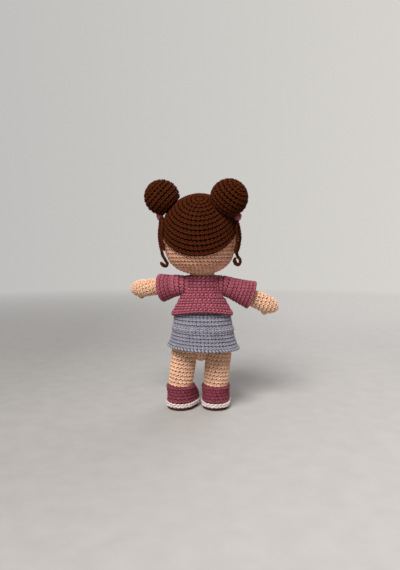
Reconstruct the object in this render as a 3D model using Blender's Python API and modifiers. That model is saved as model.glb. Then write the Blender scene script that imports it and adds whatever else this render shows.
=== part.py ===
"""A crocheted doll that stands on its shoes: a ball head with a sewn-on cap of hair and two
buns, a sweater, a flared skirt, and stuffed arms and legs.

Metres, +Z up. The doll faces -Y and its left side is +X. The origin lies on the floor under
the middle of the doll.
"""
import math

import bmesh
import bpy
from mathutils import Matrix, Vector

# Cloth and running gaps
GAP = 0.0003
FABRIC = 0.0016
CUT_OVERRUN = 0.004

# Where the body's own axis stands on the floor
BODY_X = 0.0006
BODY_Y = -0.0014

# Shoes
FOOT_HEEL_RADIUS = 0.0118
FOOT_TOE_RADIUS = 0.0122
FOOT_TOE_REACH = 0.0110
OUTSOLE_THICKNESS = 0.0021
OUTSOLE_EDGE_ROUND = 0.0006
WELT_HEIGHT = 0.0044
WELT_WALL = 0.0026
WELT_PROUD = 0.0005
SHOE_WALL = 0.0012
SHOE_UPPER_HEIGHT = 0.0154
ANKLE_CLEARANCE = 0.0005
LEFT_FOOT_X = 0.0198
RIGHT_FOOT_X = -0.0123
LEFT_TOE_TURN = math.radians(-25)
RIGHT_TOE_TURN = math.radians(-4)

# Legs
HIP_HEIGHT = 0.0570
HIP_HALF_SPACING = 0.0155
LEGS_Y = 0.0015
LEG_RADIUS = 0.0112
ANKLE_RADIUS = 0.0104
LEG_TUCK = 0.0016
HIP_CLEARANCE = 0.0005
HIP_SWING = math.radians(20)

# Torso
CROTCH_DROP = 0.0020
TORSO_HEIGHT = 0.0725
HIP_HALF_WIDTH = 0.0250
NECK_RADIUS = 0.0108
NECK_TUCK = 0.0026

# Skirt, measured down from its waist
SKIRT_WAIST_DROP = 0.0330
SKIRT_LENGTH = 0.0385
SKIRT_HEM_HALF_WIDTH = 0.0329
SKIRT_DEPTH_SHARE = 0.9
SKIRT_HEM_SHIFT = 0.0010
SKIRT_HEM_RISE = 0.0016
SKIRT_RIDGE_PROUD = 0.0009
SKIRT_HEM_PROUD = 0.0008

# Sweater, measured down from its neckline
SWEATER_NECK_DROP = 0.0064
SWEATER_LENGTH = 0.0362
SWEATER_HEM_HALF_WIDTH = 0.0280
SWEATER_CHEST_HALF_WIDTH = 0.0166
SWEATER_BACK_RISE = 0.0048

# Arms and sleeves
SHOULDER_DROP = 0.0147
ARM_LENGTH = 0.0565
ARM_ROOT_RADIUS = 0.0052
ARM_ROOT_DEPTH = 0.0040
HAND_RADIUS = 0.0079
THUMB_RADIUS = 0.0034
LEFT_SLEEVE_LENGTH = 0.0218
RIGHT_SLEEVE_LENGTH = 0.0297
SLEEVE_ROOT_RADIUS = 0.0074
SLEEVE_CUFF_RADIUS = 0.0131
ARMHOLE_CLEARANCE = 0.0007
ARM_LOWERING = math.radians(16)
LEFT_ARM_FORWARD = math.radians(27.5)
LEFT_ARM_DOWN = math.radians(6.5)
LEFT_SLEEVE_FORWARD = math.radians(18.5)
LEFT_SLEEVE_DOWN = math.radians(10.0)
RIGHT_ARM_FORWARD = math.radians(3.0)
RIGHT_ARM_DOWN = math.radians(23.5)
RIGHT_SLEEVE_FORWARD = math.radians(3.0)
RIGHT_SLEEVE_DOWN = math.radians(19.5)

# Head, cap and buns
HEAD_RADIUS = 0.0324
HEAD_DROP = 0.0344
HEAD_LEAN_X = 0.0020
HEAD_ROUND_SPAN = math.radians(96)
CAP_WALL = 0.0014
CAP_GAP = 0.0007
CAP_BACK_SPAN = math.radians(90.3)
CAP_SIDE_SPAN = math.radians(83.5)
CAP_SIDE_LEAN = math.radians(3.7)
CAP_LEAN_BACK = math.radians(33.5)
BUN_TIE_RADIUS = 0.0010
BUN_KNOT_RADIUS = 0.0025
LEFT_KNOT_TURN = math.radians(0)
RIGHT_KNOT_TURN = math.radians(35)
LEFT_BUN_RADIUS = 0.0156
RIGHT_BUN_RADIUS = 0.0162
LEFT_BUN_SINK = 0.0044
RIGHT_BUN_SINK = 0.0078
BUN_RISE = math.radians(42.5)
LEFT_BUN_BACK = math.radians(3.3)
RIGHT_BUN_BACK = math.radians(38.7)
LOCK_RADIUS = 0.00135
LOCK_CLEARANCE = 0.0008

# Safety eyes
EYE_RADIUS = 0.0041
EYE_DOME_HEIGHT = 0.0027
EYE_FLANGE = 0.0006
EYE_STEM_RADIUS = 0.0012
EYE_STEM_LENGTH = 0.0070
EYE_HOLE_CLEARANCE = 0.0003
EYE_SIDE = math.radians(24)
EYE_BELOW = math.radians(7)
WASHER_RADIUS = 0.0044
WASHER_THICKNESS = 0.0010
WASHER_BORE_CLEARANCE = 0.0003

# Heights that follow
WELT_BASE = OUTSOLE_THICKNESS + GAP
UPPER_BASE = WELT_BASE + WELT_HEIGHT + GAP
SHOE_TOP = UPPER_BASE + SHOE_UPPER_HEIGHT
CROTCH_HEIGHT = HIP_HEIGHT - CROTCH_DROP
NECK_TOP = CROTCH_HEIGHT + TORSO_HEIGHT
SHOULDER_HEIGHT = NECK_TOP - SHOULDER_DROP
SKIRT_WAIST = NECK_TOP - SKIRT_WAIST_DROP
SWEATER_NECKLINE = NECK_TOP - SWEATER_NECK_DROP
HEAD_HEIGHT = NECK_TOP - NECK_TUCK + HEAD_DROP
CAP_RADIUS = HEAD_RADIUS + CAP_GAP + CAP_WALL

# The torso from the neck down: half width, half depth and height
TORSO_SHARES = (
    (0.47, 0.45, 0.761),
    (0.55, 0.50, 0.661),
    (0.68, 0.60, 0.578),
    (0.82, 0.68, 0.456),
    (0.95, 0.73, 0.312),
    (1.0, 0.72, 0.173),
    (0.97, 0.68, 0.085),
    (0.86, 0.60, 0.035),
    (0.62, 0.44, 0.008),
)
TORSO_FLOOR_SHARE = 0.45
# The head below its round part: radius and height, of the head's radius and drop
HEAD_CHIN_SHARES = (
    (0.985, -0.262),
    (0.953, -0.494),
    (0.889, -0.669),
    (0.793, -0.814),
    (0.633, -0.936),
    (0.447, -1.017),
    (0.30, -1.052),
)
# The skirt below its waist: how far it has widened, and how far down
SKIRT_UPPER_SHARES = ((0.185, 0.09), (0.427, 0.21), (0.53, 0.40), (0.575, 0.50))
SKIRT_RIDGE_SHARE = 0.543
SKIRT_LOWER_SHARES = ((0.613, 0.59), (0.75, 0.766), (0.88, 0.896), (0.945, 0.94))
SKIRT_HEM_SHARE = 0.974
# The sweater below its neckline: how far it has widened, and how far down
SWEATER_SHARES = ((0.0, 0.36), (0.16, 0.46), (0.44, 0.64), (0.74, 0.82), (0.97, 0.94))
SWEATER_DEPTH_SHARE = 0.91
SWEATER_NECKLINE_SHARE = 0.885
# The arm from shoulder to finger tips: radius of the hand's, distance of the arm's length
ARM_SHARES = (
    (0.72, 0.14),
    (0.82, 0.32),
    (0.91, 0.50),
    (1.0, 0.68),
    (0.99, 0.82),
    (0.81, 0.91),
    (0.46, 0.975),
)
ARM_ROOT_SHARE = 0.64
THUMB_PLACE_SHARE = 0.82
THUMB_OUT_SHARE = 0.80
# The sleeve from shoulder to cuff: how far it has widened, and how far along
SLEEVE_SHARES = ((0.0, 0.03), (0.24, 0.20), (0.60, 0.60), (1.0, 1.0))
SHOE_MOUTH_REACH_SHARE = 0.07
# The shoe upper: toe reach and radius of the sole's, and height
SHOE_SHARES = (
    (1.0, 1.0, 0.0),
    (1.0, 1.0, 0.18),
    (0.90, 0.98, 0.42),
    (0.55, 1.01, 0.66),
    (0.16, 1.06, 0.84),
)
# Curls that hang beside the face, in cap radii from the head's centre
LEFT_OUTER_SHARES = (
    (1.037, 0.12, 0.16),
    (1.047, 0.12, -0.02),
    (1.047, 0.12, -0.157),
    (1.024, 0.12, -0.30),
    (1.0, 0.12, -0.426),
    (0.972, 0.12, -0.551),
    (0.93, 0.12, -0.645),
    (0.878, 0.12, -0.735),
    (0.838, 0.12, -0.81),
    (0.88, 0.12, -0.868),
    (0.965, 0.12, -0.835),
    (1.014, 0.12, -0.76),
)
LEFT_INNER_SHARES = (
    (0.965, 0.41, 0.14),
    (0.967, 0.415, -0.02),
    (0.966, 0.415, -0.157),
    (0.935, 0.41, -0.30),
    (0.895, 0.39, -0.47),
)
RIGHT_OUTER_SHARES = (
    (-0.95, 0.41, 0.21),
    (-0.985, 0.37, 0.105),
    (-1.009, 0.315, -0.04),
    (-1.017, 0.285, -0.18),
    (-0.994, 0.27, -0.33),
    (-0.966, 0.27, -0.43),
    (-0.94, 0.27, -0.52),
    (-0.95, 0.27, -0.60),
    (-1.012, 0.27, -0.68),
    (-1.03, 0.28, -0.765),
    (-0.965, 0.30, -0.832),
    (-0.905, 0.32, -0.785),
    (-0.872, 0.345, -0.70),
    (-0.91, 0.37, -0.64),
)
RIGHT_INNER_SHARES = (
    (-0.93, 0.49, 0.15),
    (-0.945, 0.475, -0.04),
    (-0.94, 0.475, -0.18),
    (-0.926, 0.465, -0.33),
    (-0.89, 0.445, -0.455),
    (-0.893, 0.44, -0.54),
)
# Where each curl starts on its tie, round from the lowest point of the tie
LEFT_OUTER_START = math.radians(0)
LEFT_INNER_START = math.radians(-42)
RIGHT_OUTER_START = math.radians(38)
RIGHT_INNER_START = math.radians(12)
# Where the two locks of a side hang from: this far from the outer one to the inner one
LEFT_ROOT_SHARE = 0.60
RIGHT_ROOT_SHARE = 0.15
# The cap's first ring, of its way from the crown to its edge
CAP_CROWN_SHARE = 0.04
# Where an eye's flange could touch the head first, of its radius
EYE_SEAT_SHARES = (-1.0, -0.5, 0.0, 0.5, 1.0)

HEAD_SIDES = 24
CAP_SIDES = 26
CAP_STEPS = 9
BUN_SIDES = 18
TORSO_SIDES = 20
SKIRT_SIDES = 24
SWEATER_SIDES = 24
LIMB_SIDES = 16
SLEEVE_SIDES = 18
SHOE_SIDES = 20
SMALL_SIDES = 12
TIE_SIDES = 6
LOCK_SEARCH_STEPS = 30


def clear_scene():
    for thing in list(bpy.data.objects):
        bpy.data.objects.remove(thing, do_unlink=True)


def new_collection(name):
    made = bpy.data.collections.new(name)
    bpy.context.scene.collection.children.link(made)
    return made


def new_material(name, colour, roughness):
    made = bpy.data.materials.new(name)
    made.use_nodes = True
    shader = made.node_tree.nodes["Principled BSDF"]
    shader.inputs["Base Color"].default_value = (*colour, 1.0)
    shader.inputs["Roughness"].default_value = roughness
    shader.inputs["Metallic"].default_value = 0.0
    made.diffuse_color = (*colour, 1.0)
    return made


clear_scene()
DOLL = new_collection("amigurumi_doll")
CUTTERS = new_collection("cutters")
SKIN = new_material("skin_yarn", (0.79, 0.50, 0.35), 0.85)
HAIR = new_material("hair_yarn", (0.075, 0.026, 0.012), 0.8)
RASPBERRY = new_material("raspberry_yarn", (0.36, 0.085, 0.135), 0.85)
SKIRT_YARN = new_material("grey_blue_yarn", (0.42, 0.45, 0.56), 0.85)
WHITE = new_material("white_yarn", (0.80, 0.76, 0.74), 0.85)
FILL = new_material("fibre_fill", (0.85, 0.84, 0.82), 0.95)
EYE_BLACK = new_material("eye_plastic", (0.008, 0.008, 0.009), 0.15)
WASHER_GREY = new_material("washer_plastic", (0.75, 0.75, 0.73), 0.5)


def new_object(name, mesh, collection, material=None, parent=None):
    made = bpy.data.objects.new(name, mesh)
    collection.objects.link(made)
    if material:
        mesh.materials.append(material)
    made.parent = parent or DOLL_AXIS
    return made


def pivot(name, place, parent=None):
    """An empty on a joint's axis, which carries the pieces that turn with it."""
    made = bpy.data.objects.new(name, None)
    DOLL.objects.link(made)
    made.location = place
    made.parent = parent
    return made


DOLL_AXIS = pivot("doll_axis", Vector((BODY_X, BODY_Y, 0)))


def shade_round(mesh):
    mesh.shade_smooth()
    mesh.set_sharp_from_angle(angle=math.radians(50))


def pointed(thing, direction):
    """Turns the object's own Z towards the direction."""
    thing.rotation_mode = "QUATERNION"
    thing.rotation_quaternion = direction.to_track_quat("Z", "Y")
    return thing


def turned(name, outline, sides, collection, material=None, parent=None):
    """A turned shape: its outline, (radius, height) from top to bottom, swept round Z.

    An outline that ends where it starts makes a ring.
    """
    mesh = bpy.data.meshes.new(name)
    ends = range(1, len(outline))
    if outline[-1] == outline[0]:
        outline = outline[:-1]
    points = [(radius, 0, height) for radius, height in outline]
    mesh.from_pydata(points, [(i - 1, i % len(points)) for i in ends], [])
    made = new_object(name, mesh, collection, material, parent)
    screw = made.modifiers.new("turn", "SCREW")
    screw.steps = screw.render_steps = sides
    screw.use_merge_vertices = True
    screw.merge_threshold = GAP / 10
    screw.use_smooth_shade = True
    return made


def loft(name, rings, material, parent=None, close_top=False, close_base=False):
    """A skin over rings of equal count, listed from the top down."""
    work = bmesh.new()
    made_rings = [[work.verts.new(point) for point in ring] for ring in rings]
    count = len(rings[0])
    for upper, lower in zip(made_rings, made_rings[1:]):
        for i in range(count):
            j = (i + 1) % count
            work.faces.new((upper[i], lower[i], lower[j], upper[j]))
    if close_top:
        work.faces.new(made_rings[0])
    if close_base:
        work.faces.new(list(reversed(made_rings[-1])))
    bmesh.ops.recalc_face_normals(work, faces=work.faces)
    mesh = bpy.data.meshes.new(name)
    work.to_mesh(mesh)
    work.free()
    shade_round(mesh)
    return new_object(name, mesh, DOLL, material, parent)


def thicken(thing, wall):
    """Gives an open skin its wall, inwards."""
    solidify = thing.modifiers.new("wall", "SOLIDIFY")
    solidify.thickness = wall
    solidify.offset = -1
    solidify.use_even_offset = True
    return thing


def cut(thing, cutter, operation="DIFFERENCE"):
    boolean = thing.modifiers.new(operation.lower(), "BOOLEAN")
    boolean.operation = operation
    boolean.object = cutter
    boolean.solver = "EXACT"
    return thing


def as_cutter(thing):
    thing.hide_render = True
    thing.display_type = "WIRE"
    return thing


def ball_cutter(name, place, radius, parent=None):
    mesh = bpy.data.meshes.new(name)
    work = bmesh.new()
    bmesh.ops.create_uvsphere(
        work, u_segments=TORSO_SIDES, v_segments=TORSO_SIDES // 2, radius=radius
    )
    work.to_mesh(mesh)
    work.free()
    made = as_cutter(new_object(name, mesh, CUTTERS, parent=parent))
    made.location = place
    return made


def lump_cutter(name, place, radius, parent):
    mesh = bpy.data.meshes.new(name)
    work = bmesh.new()
    bmesh.ops.create_icosphere(work, subdivisions=2, radius=radius)
    work.to_mesh(mesh)
    work.free()
    made = as_cutter(new_object(name, mesh, CUTTERS, parent=parent))
    made.location = place
    return made


def rod_cutter(name, place, axis, radius, length, parent=None):
    """A round bar from its place along its axis."""
    mesh = bpy.data.meshes.new(name)
    work = bmesh.new()
    bmesh.ops.create_cone(
        work, cap_ends=True, segments=TORSO_SIDES, radius1=radius, radius2=radius, depth=length
    )
    work.to_mesh(mesh)
    work.free()
    made = as_cutter(new_object(name, mesh, CUTTERS, parent=parent))
    made.location = place + axis * length / 2
    return pointed(made, axis)


def along(heights, values, height):
    """Reads a value at a height between the two listed ones that enclose it."""
    for (top, base), (first, last) in zip(zip(heights, heights[1:]), zip(values, values[1:])):
        if base <= height <= top:
            return first + (last - first) * (top - height) / (top - base)
    return values[0] if height > heights[0] else values[-1]


def inset_outline(outline, inset):
    """The outline, listed from the top down, moved inwards square to each of its stretches."""
    moved = []
    for i, point in enumerate(outline):
        here = Vector(point)
        runs = [here - Vector(other) for other in outline[max(i - 1, 0):i]]
        runs += [Vector(other) - here for other in outline[i + 1:i + 2]]
        normals = [Vector((-run.y, run.x)).normalized() for run in runs]
        mean = sum(normals, Vector((0, 0))).normalized()
        if here.x == 0:
            mean = Vector((0, math.copysign(1, mean.y)))
        corner = here - mean * inset / max(mean.dot(normals[0]), 0.5)
        moved.append((max(corner.x, 0.0), corner.y))
    return moved


def oval(half_width, half_depth, height, sides, back_rise=0.0):
    """A level oval round the body's axis; its back can rise."""
    ring = []
    for i in range(sides):
        turn = 2 * math.pi * i / sides
        lift = back_rise * max(0.0, math.sin(turn)) ** 2
        place = (half_width * math.cos(turn), half_depth * math.sin(turn), height + lift)
        ring.append(Vector(place))
    return ring


def sphere_arc(radius, start, end, steps):
    """(radius, height) points down a sphere between two angles from its top."""
    turns = [start + (end - start) * i / steps for i in range(steps + 1)]
    return [(radius * math.sin(turn), radius * math.cos(turn)) for turn in turns]


# The torso's own outline is read by everything that is worn on it or sewn to it.
TORSO_HEIGHTS = [NECK_TOP, SHOULDER_HEIGHT + ARM_ROOT_RADIUS]
TORSO_HEIGHTS += [CROTCH_HEIGHT + high * TORSO_HEIGHT for _, _, high in TORSO_SHARES]
TORSO_WIDTHS = [NECK_RADIUS] * 2 + [wide * HIP_HALF_WIDTH for wide, _, _ in TORSO_SHARES]
TORSO_DEPTHS = [NECK_RADIUS] * 2 + [deep * HIP_HALF_WIDTH for _, deep, _ in TORSO_SHARES]


def torso_rings(inset, sides):
    side_outline = list(zip(TORSO_WIDTHS, TORSO_HEIGHTS))
    front_outline = list(zip(TORSO_DEPTHS, TORSO_HEIGHTS))
    if inset:
        side_outline = inset_outline(side_outline, inset)
        front_outline = inset_outline(front_outline, inset)
    rings = []
    for (wide, height), (deep, _) in zip(side_outline, front_outline):
        rings.append(oval(wide, deep, height, sides))
    wide, height = side_outline[-1]
    deep, _ = front_outline[-1]
    floor = min(CROTCH_HEIGHT + inset, height - GAP)
    share = TORSO_FLOOR_SHARE
    rings.append(oval(wide * share, deep * share, floor, sides))
    return rings


def hip_place(side):
    return Vector((side * HIP_HALF_SPACING, LEGS_Y, HIP_HEIGHT))


def foot_place(foot_x):
    return Vector((foot_x, LEGS_Y, 0))


def leg_run(side, foot_x):
    """From the ankle, just inside the shoe, up to the hip."""
    ankle = foot_place(foot_x) + Vector((0, 0, SHOE_TOP - LEG_TUCK))
    return hip_place(side) - ankle


def shoulder_place(side):
    reach = along(TORSO_HEIGHTS, TORSO_WIDTHS, SHOULDER_HEIGHT) + GAP + ARM_ROOT_RADIUS
    return Vector((side * reach, 0, SHOULDER_HEIGHT))


def make_torso():
    skin = loft("torso_skin", torso_rings(0.0, TORSO_SIDES), SKIN, close_base=True)
    thicken(skin, FABRIC)
    inside = torso_rings(FABRIC + GAP + GAP, TORSO_SIDES // 2)
    fill = loft("torso_stuffing", inside, FILL, close_top=True, close_base=True)
    for side, name, foot_x in ((1, "left", LEFT_FOOT_X), (-1, "right", RIGHT_FOOT_X)):
        hip = hip_place(side)
        room = LEG_RADIUS + HIP_CLEARANCE
        down = -leg_run(side, foot_x).normalized()
        ball = ball_cutter(name + "_hip_ball_cut", hip, room)
        cut(skin, ball)
        cut(fill, ball)
        for swing in (-HIP_SWING, 0.0, HIP_SWING):
            way = Matrix.Rotation(swing, 3, "X") @ down
            rod = rod_cutter(name + "_hip_cut", hip, way, room, TORSO_HEIGHT)
            cut(skin, rod)
            cut(fill, rod)


def make_skirt():
    waist = along(TORSO_HEIGHTS, TORSO_WIDTHS, SKIRT_WAIST) + GAP + GAP + FABRIC
    waist_deep = along(TORSO_HEIGHTS, TORSO_DEPTHS, SKIRT_WAIST) + GAP + GAP + FABRIC
    hem = SKIRT_HEM_HALF_WIDTH - SKIRT_HEM_PROUD
    ridge_wide, _ = SKIRT_UPPER_SHARES[-1]
    stations = [(0.0, 0.0, 0.0)]
    stations += [(share, down, 0.0) for share, down in SKIRT_UPPER_SHARES]
    stations.append((ridge_wide, SKIRT_RIDGE_SHARE, SKIRT_RIDGE_PROUD))
    stations += [(share, down, 0.0) for share, down in SKIRT_LOWER_SHARES]
    stations.append((1.0, SKIRT_HEM_SHARE, SKIRT_HEM_PROUD))
    stations.append((1.0, 1.0, 0.0))
    rings = []
    for share, down, proud in stations:
        wide = waist + (hem - waist) * share + proud
        deep = waist_deep + (hem * SKIRT_DEPTH_SHARE - waist_deep) * share + proud
        ring = oval(wide, deep, SKIRT_WAIST - SKIRT_LENGTH * down, SKIRT_SIDES)
        for point in ring:
            point.z += SKIRT_HEM_RISE * down * point.x / SKIRT_HEM_HALF_WIDTH
            point.x -= SKIRT_HEM_SHIFT * down
        rings.append(ring)
    thicken(loft("skirt", rings, SKIRT_YARN), FABRIC)


def make_sweater():
    chest = SWEATER_CHEST_HALF_WIDTH
    spread = SWEATER_HEM_HALF_WIDTH - chest
    widths = [(chest * SWEATER_NECKLINE_SHARE, 0.0)]
    widths += [(chest + spread * share, down) for share, down in SWEATER_SHARES]
    widths.append((SWEATER_HEM_HALF_WIDTH, 1.0))
    rings = []
    for wide, down in widths:
        height = SWEATER_NECKLINE - SWEATER_LENGTH * down
        rise = SWEATER_BACK_RISE * down ** 2
        rings.append(oval(wide, wide * SWEATER_DEPTH_SHARE, height, SWEATER_SIDES, rise))
    sweater = loft("sweater", rings, RASPBERRY)
    thicken(sweater, FABRIC)
    return sweater


def arm_direction(side, forward, down):
    level = Vector((side * math.cos(forward), -math.sin(forward), 0))
    return level * math.cos(down) + Vector((0, 0, -math.sin(down)))


def thumb_place(side, direction):
    under = direction.cross(Vector((0, -side, 0))).normalized()
    out = HAND_RADIUS * THUMB_OUT_SHARE
    return direction * ARM_LENGTH * THUMB_PLACE_SHARE + under * out


def sleeve_outline(length, grow):
    """(radius, distance) from the cuff back to the shoulder."""
    spread = SLEEVE_CUFF_RADIUS - SLEEVE_ROOT_RADIUS
    return [
        (SLEEVE_ROOT_RADIUS + spread * wide + grow, length * far)
        for wide, far in reversed(SLEEVE_SHARES)
    ]


def cut_armhole(name, sweater, shoulder, sleeve_way, length):
    """Opens the sweater for the sleeve's root wherever the arm hangs."""
    room = SLEEVE_ROOT_RADIUS + ARMHOLE_CLEARANCE
    cut(sweater, ball_cutter(name + "_armhole_ball", Vector((0, 0, 0)), room, shoulder))
    outline = [(0.0, length)] + sleeve_outline(length, ARMHOLE_CLEARANCE) + [(0.0, 0.0)]
    for step in (0.0, 0.5, 1.0):
        lowering = math.copysign(ARM_LOWERING * step, sleeve_way.x)
        way = Matrix.Rotation(lowering, 3, "Y") @ sleeve_way
        cutter = turned(name + "_armhole", outline, SLEEVE_SIDES, CUTTERS, None, shoulder)
        cut(sweater, as_cutter(pointed(cutter, way)))


def make_arm(name, side, arm_angles, sleeve_angles, sleeve_length, sweater):
    shoulder = pivot(name + "_shoulder", shoulder_place(side), DOLL_AXIS)
    direction = arm_direction(side, *arm_angles)
    outline = [(0.0, ARM_LENGTH)]
    outline += [(HAND_RADIUS * wide, ARM_LENGTH * far) for wide, far in reversed(ARM_SHARES)]
    outline += [(ARM_ROOT_RADIUS, 0.0), (ARM_ROOT_RADIUS * ARM_ROOT_SHARE, -ARM_ROOT_DEPTH)]
    inside = inset_outline(outline, FABRIC)
    stuffed = inset_outline(outline, FABRIC + GAP)

    closed = outline + [(0.0, -ARM_ROOT_DEPTH)]
    skin = turned(name + "_arm_skin", closed, LIMB_SIDES, DOLL, SKIN, shoulder)
    pointed(skin, direction)
    thumb = lump_cutter(name + "_thumb", thumb_place(side, direction), THUMB_RADIUS, shoulder)
    cut(skin, thumb, "UNION")
    throat, _ = inside[-1]
    end = -ARM_ROOT_DEPTH - CUT_OVERRUN
    hollow = inside[:-1] + [(throat, end), (0.0, end)]
    core = as_cutter(turned(name + "_arm_hollow", hollow, LIMB_SIDES, CUTTERS, None, shoulder))
    cut(skin, pointed(core, direction))

    stuffed += [(0.0, stuffed[-1][1])]
    fill = turned(name + "_arm_stuffing", stuffed, LIMB_SIDES // 2, DOLL, FILL, shoulder)
    pointed(fill, direction)

    sleeve_way = arm_direction(side, *sleeve_angles)
    outline = sleeve_outline(sleeve_length, 0.0)
    sleeve = turned(name + "_sleeve", outline, SLEEVE_SIDES, DOLL, RASPBERRY, shoulder)
    thicken(pointed(sleeve, sleeve_way), FABRIC)
    cut_armhole(name, sweater, shoulder, sleeve_way, sleeve_length)


def sole_ring(heel_radius, reach_share, height, sides, place, turn):
    """The outline round two circles, heel and toe; the toe points to -Y before the turn."""
    wider = FOOT_TOE_RADIUS - FOOT_HEEL_RADIUS
    toe_radius = heel_radius + wider * reach_share
    toe_reach = FOOT_TOE_REACH * reach_share
    lean = math.asin(wider / FOOT_TOE_REACH)
    half = sides // 2
    ring = []
    for i in range(half):
        step = -lean + (math.pi + 2 * lean) * i / (half - 1)
        ring.append((heel_radius * math.cos(step), heel_radius * math.sin(step)))
    for i in range(half):
        step = math.pi + lean + (math.pi - 2 * lean) * i / (half - 1)
        ring.append((toe_radius * math.cos(step), -toe_reach + toe_radius * math.sin(step)))
    spin = Matrix.Rotation(turn, 3, "Z")
    return [place + spin @ Vector((x, y, height)) for x, y in ring]


def make_shoe(name, foot, turn, leg, stuffing_top):
    base = foot - leg.location

    def ring(grow, height, reach=1.0, shrink=1.0, sides=SHOE_SIDES):
        return sole_ring(FOOT_HEEL_RADIUS * shrink + grow, reach, height, sides, base, turn)

    edge = OUTSOLE_EDGE_ROUND
    sole_rings = [
        ring(-edge, OUTSOLE_THICKNESS),
        ring(0.0, OUTSOLE_THICKNESS - edge),
        ring(0.0, edge),
        ring(-edge, 0.0),
    ]
    loft(name + "_shoe_outsole", sole_rings, RASPBERRY, leg, close_top=True, close_base=True)

    welt_rings = [
        ring(0.0, WELT_BASE + WELT_HEIGHT),
        ring(WELT_PROUD, WELT_BASE + WELT_HEIGHT * 3 / 4),
        ring(WELT_PROUD, WELT_BASE + WELT_HEIGHT / 4),
        ring(0.0, WELT_BASE),
    ]
    thicken(loft(name + "_shoe_welt", welt_rings, WHITE, leg), WELT_WALL)

    mouth = ANKLE_RADIUS + ANKLE_CLEARANCE + SHOE_WALL
    stations = [
        (UPPER_BASE + SHOE_UPPER_HEIGHT * high, reach, shrink)
        for reach, shrink, high in reversed(SHOE_SHARES)
    ]
    upper_rings = [sole_ring(mouth, SHOE_MOUTH_REACH_SHARE, SHOE_TOP, SHOE_SIDES, base, turn)]
    upper_rings += [ring(0.0, height, reach, shrink) for height, reach, shrink in stations]
    thicken(loft(name + "_shoe_upper", upper_rings, RASPBERRY, leg), SHOE_WALL)

    inside = -WELT_WALL - GAP
    coarse = SHOE_SIDES // 2
    fill_rings = [
        ring(inside, height, reach, shrink, coarse)
        for height, reach, shrink in stations
        if height < stuffing_top - GAP
    ]
    heights, reaches, shrinks = zip(*stations)
    top_reach = along(heights, reaches, stuffing_top)
    top_shrink = along(heights, shrinks, stuffing_top)
    fill_rings.insert(0, ring(inside, stuffing_top, top_reach, top_shrink, coarse))
    fill_rings.append(ring(inside, WELT_BASE, sides=coarse))
    loft(name + "_shoe_stuffing", fill_rings, FILL, leg, close_top=True, close_base=True)


def make_leg(name, side, foot_x, turn):
    hip = pivot(name + "_hip", hip_place(side), DOLL_AXIS)
    run = leg_run(side, foot_x)
    length = run.length
    up = run.normalized()

    dome = sphere_arc(LEG_RADIUS, math.radians(36), math.radians(90), 3)
    outline = dome + [(LEG_RADIUS, -length / 2), (ANKLE_RADIUS, -length)]
    skin = turned(name + "_leg_skin", outline, LIMB_SIDES, DOLL, SKIN, hip)
    thicken(pointed(skin, up), FABRIC)

    stuffed = inset_outline([(0.0, LEG_RADIUS)] + outline, FABRIC + GAP)
    stuffed[-1] = (stuffed[-1][0], -length)
    fill = turned(
        name + "_leg_stuffing", stuffed + [(0.0, -length)], LIMB_SIDES // 2, DOLL, FILL, hip
    )
    pointed(fill, up)

    tilt_drop = ANKLE_RADIUS * math.hypot(up.x, up.y)
    make_shoe(name, foot_place(foot_x), turn, hip, SHOE_TOP - LEG_TUCK - tilt_drop - GAP)


def head_outline():
    """The head from its top down, as (radius, height) from its centre."""
    outline = sphere_arc(HEAD_RADIUS, 0.0, HEAD_ROUND_SPAN, 7)
    outline += [(HEAD_RADIUS * wide, HEAD_DROP * high) for wide, high in HEAD_CHIN_SHARES]
    return outline


def head_reach(out, grow=0.0):
    """How far the head, or a shell round it, goes from its centre in a direction."""
    level = math.hypot(out.x, out.y)
    outline = inset_outline(head_outline(), -grow)
    for (first, top), (last, base) in zip(outline, outline[1:]):
        before = level * top - out.z * first
        beyond = level * base - out.z * last
        if before >= 0 >= beyond:
            share = before / (before - beyond)
            return math.hypot(first + (last - first) * share, top + (base - top) * share)
    return HEAD_DROP


def eye_direction(side):
    level = Vector((side * math.sin(EYE_SIDE), -math.cos(EYE_SIDE), 0))
    return level * math.cos(EYE_BELOW) + Vector((0, 0, -math.sin(EYE_BELOW)))


def eye_seat():
    """How far out the flange sits, clear of the head's bulge under it."""
    spread = math.asin(EYE_RADIUS / HEAD_RADIUS)
    bulges = []
    for share in EYE_SEAT_SHARES:
        below = EYE_BELOW + spread * share
        out = Vector((math.cos(below), 0, -math.sin(below)))
        bulges.append(head_reach(out) * math.cos(spread * share))
    return max(bulges) + GAP


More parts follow.
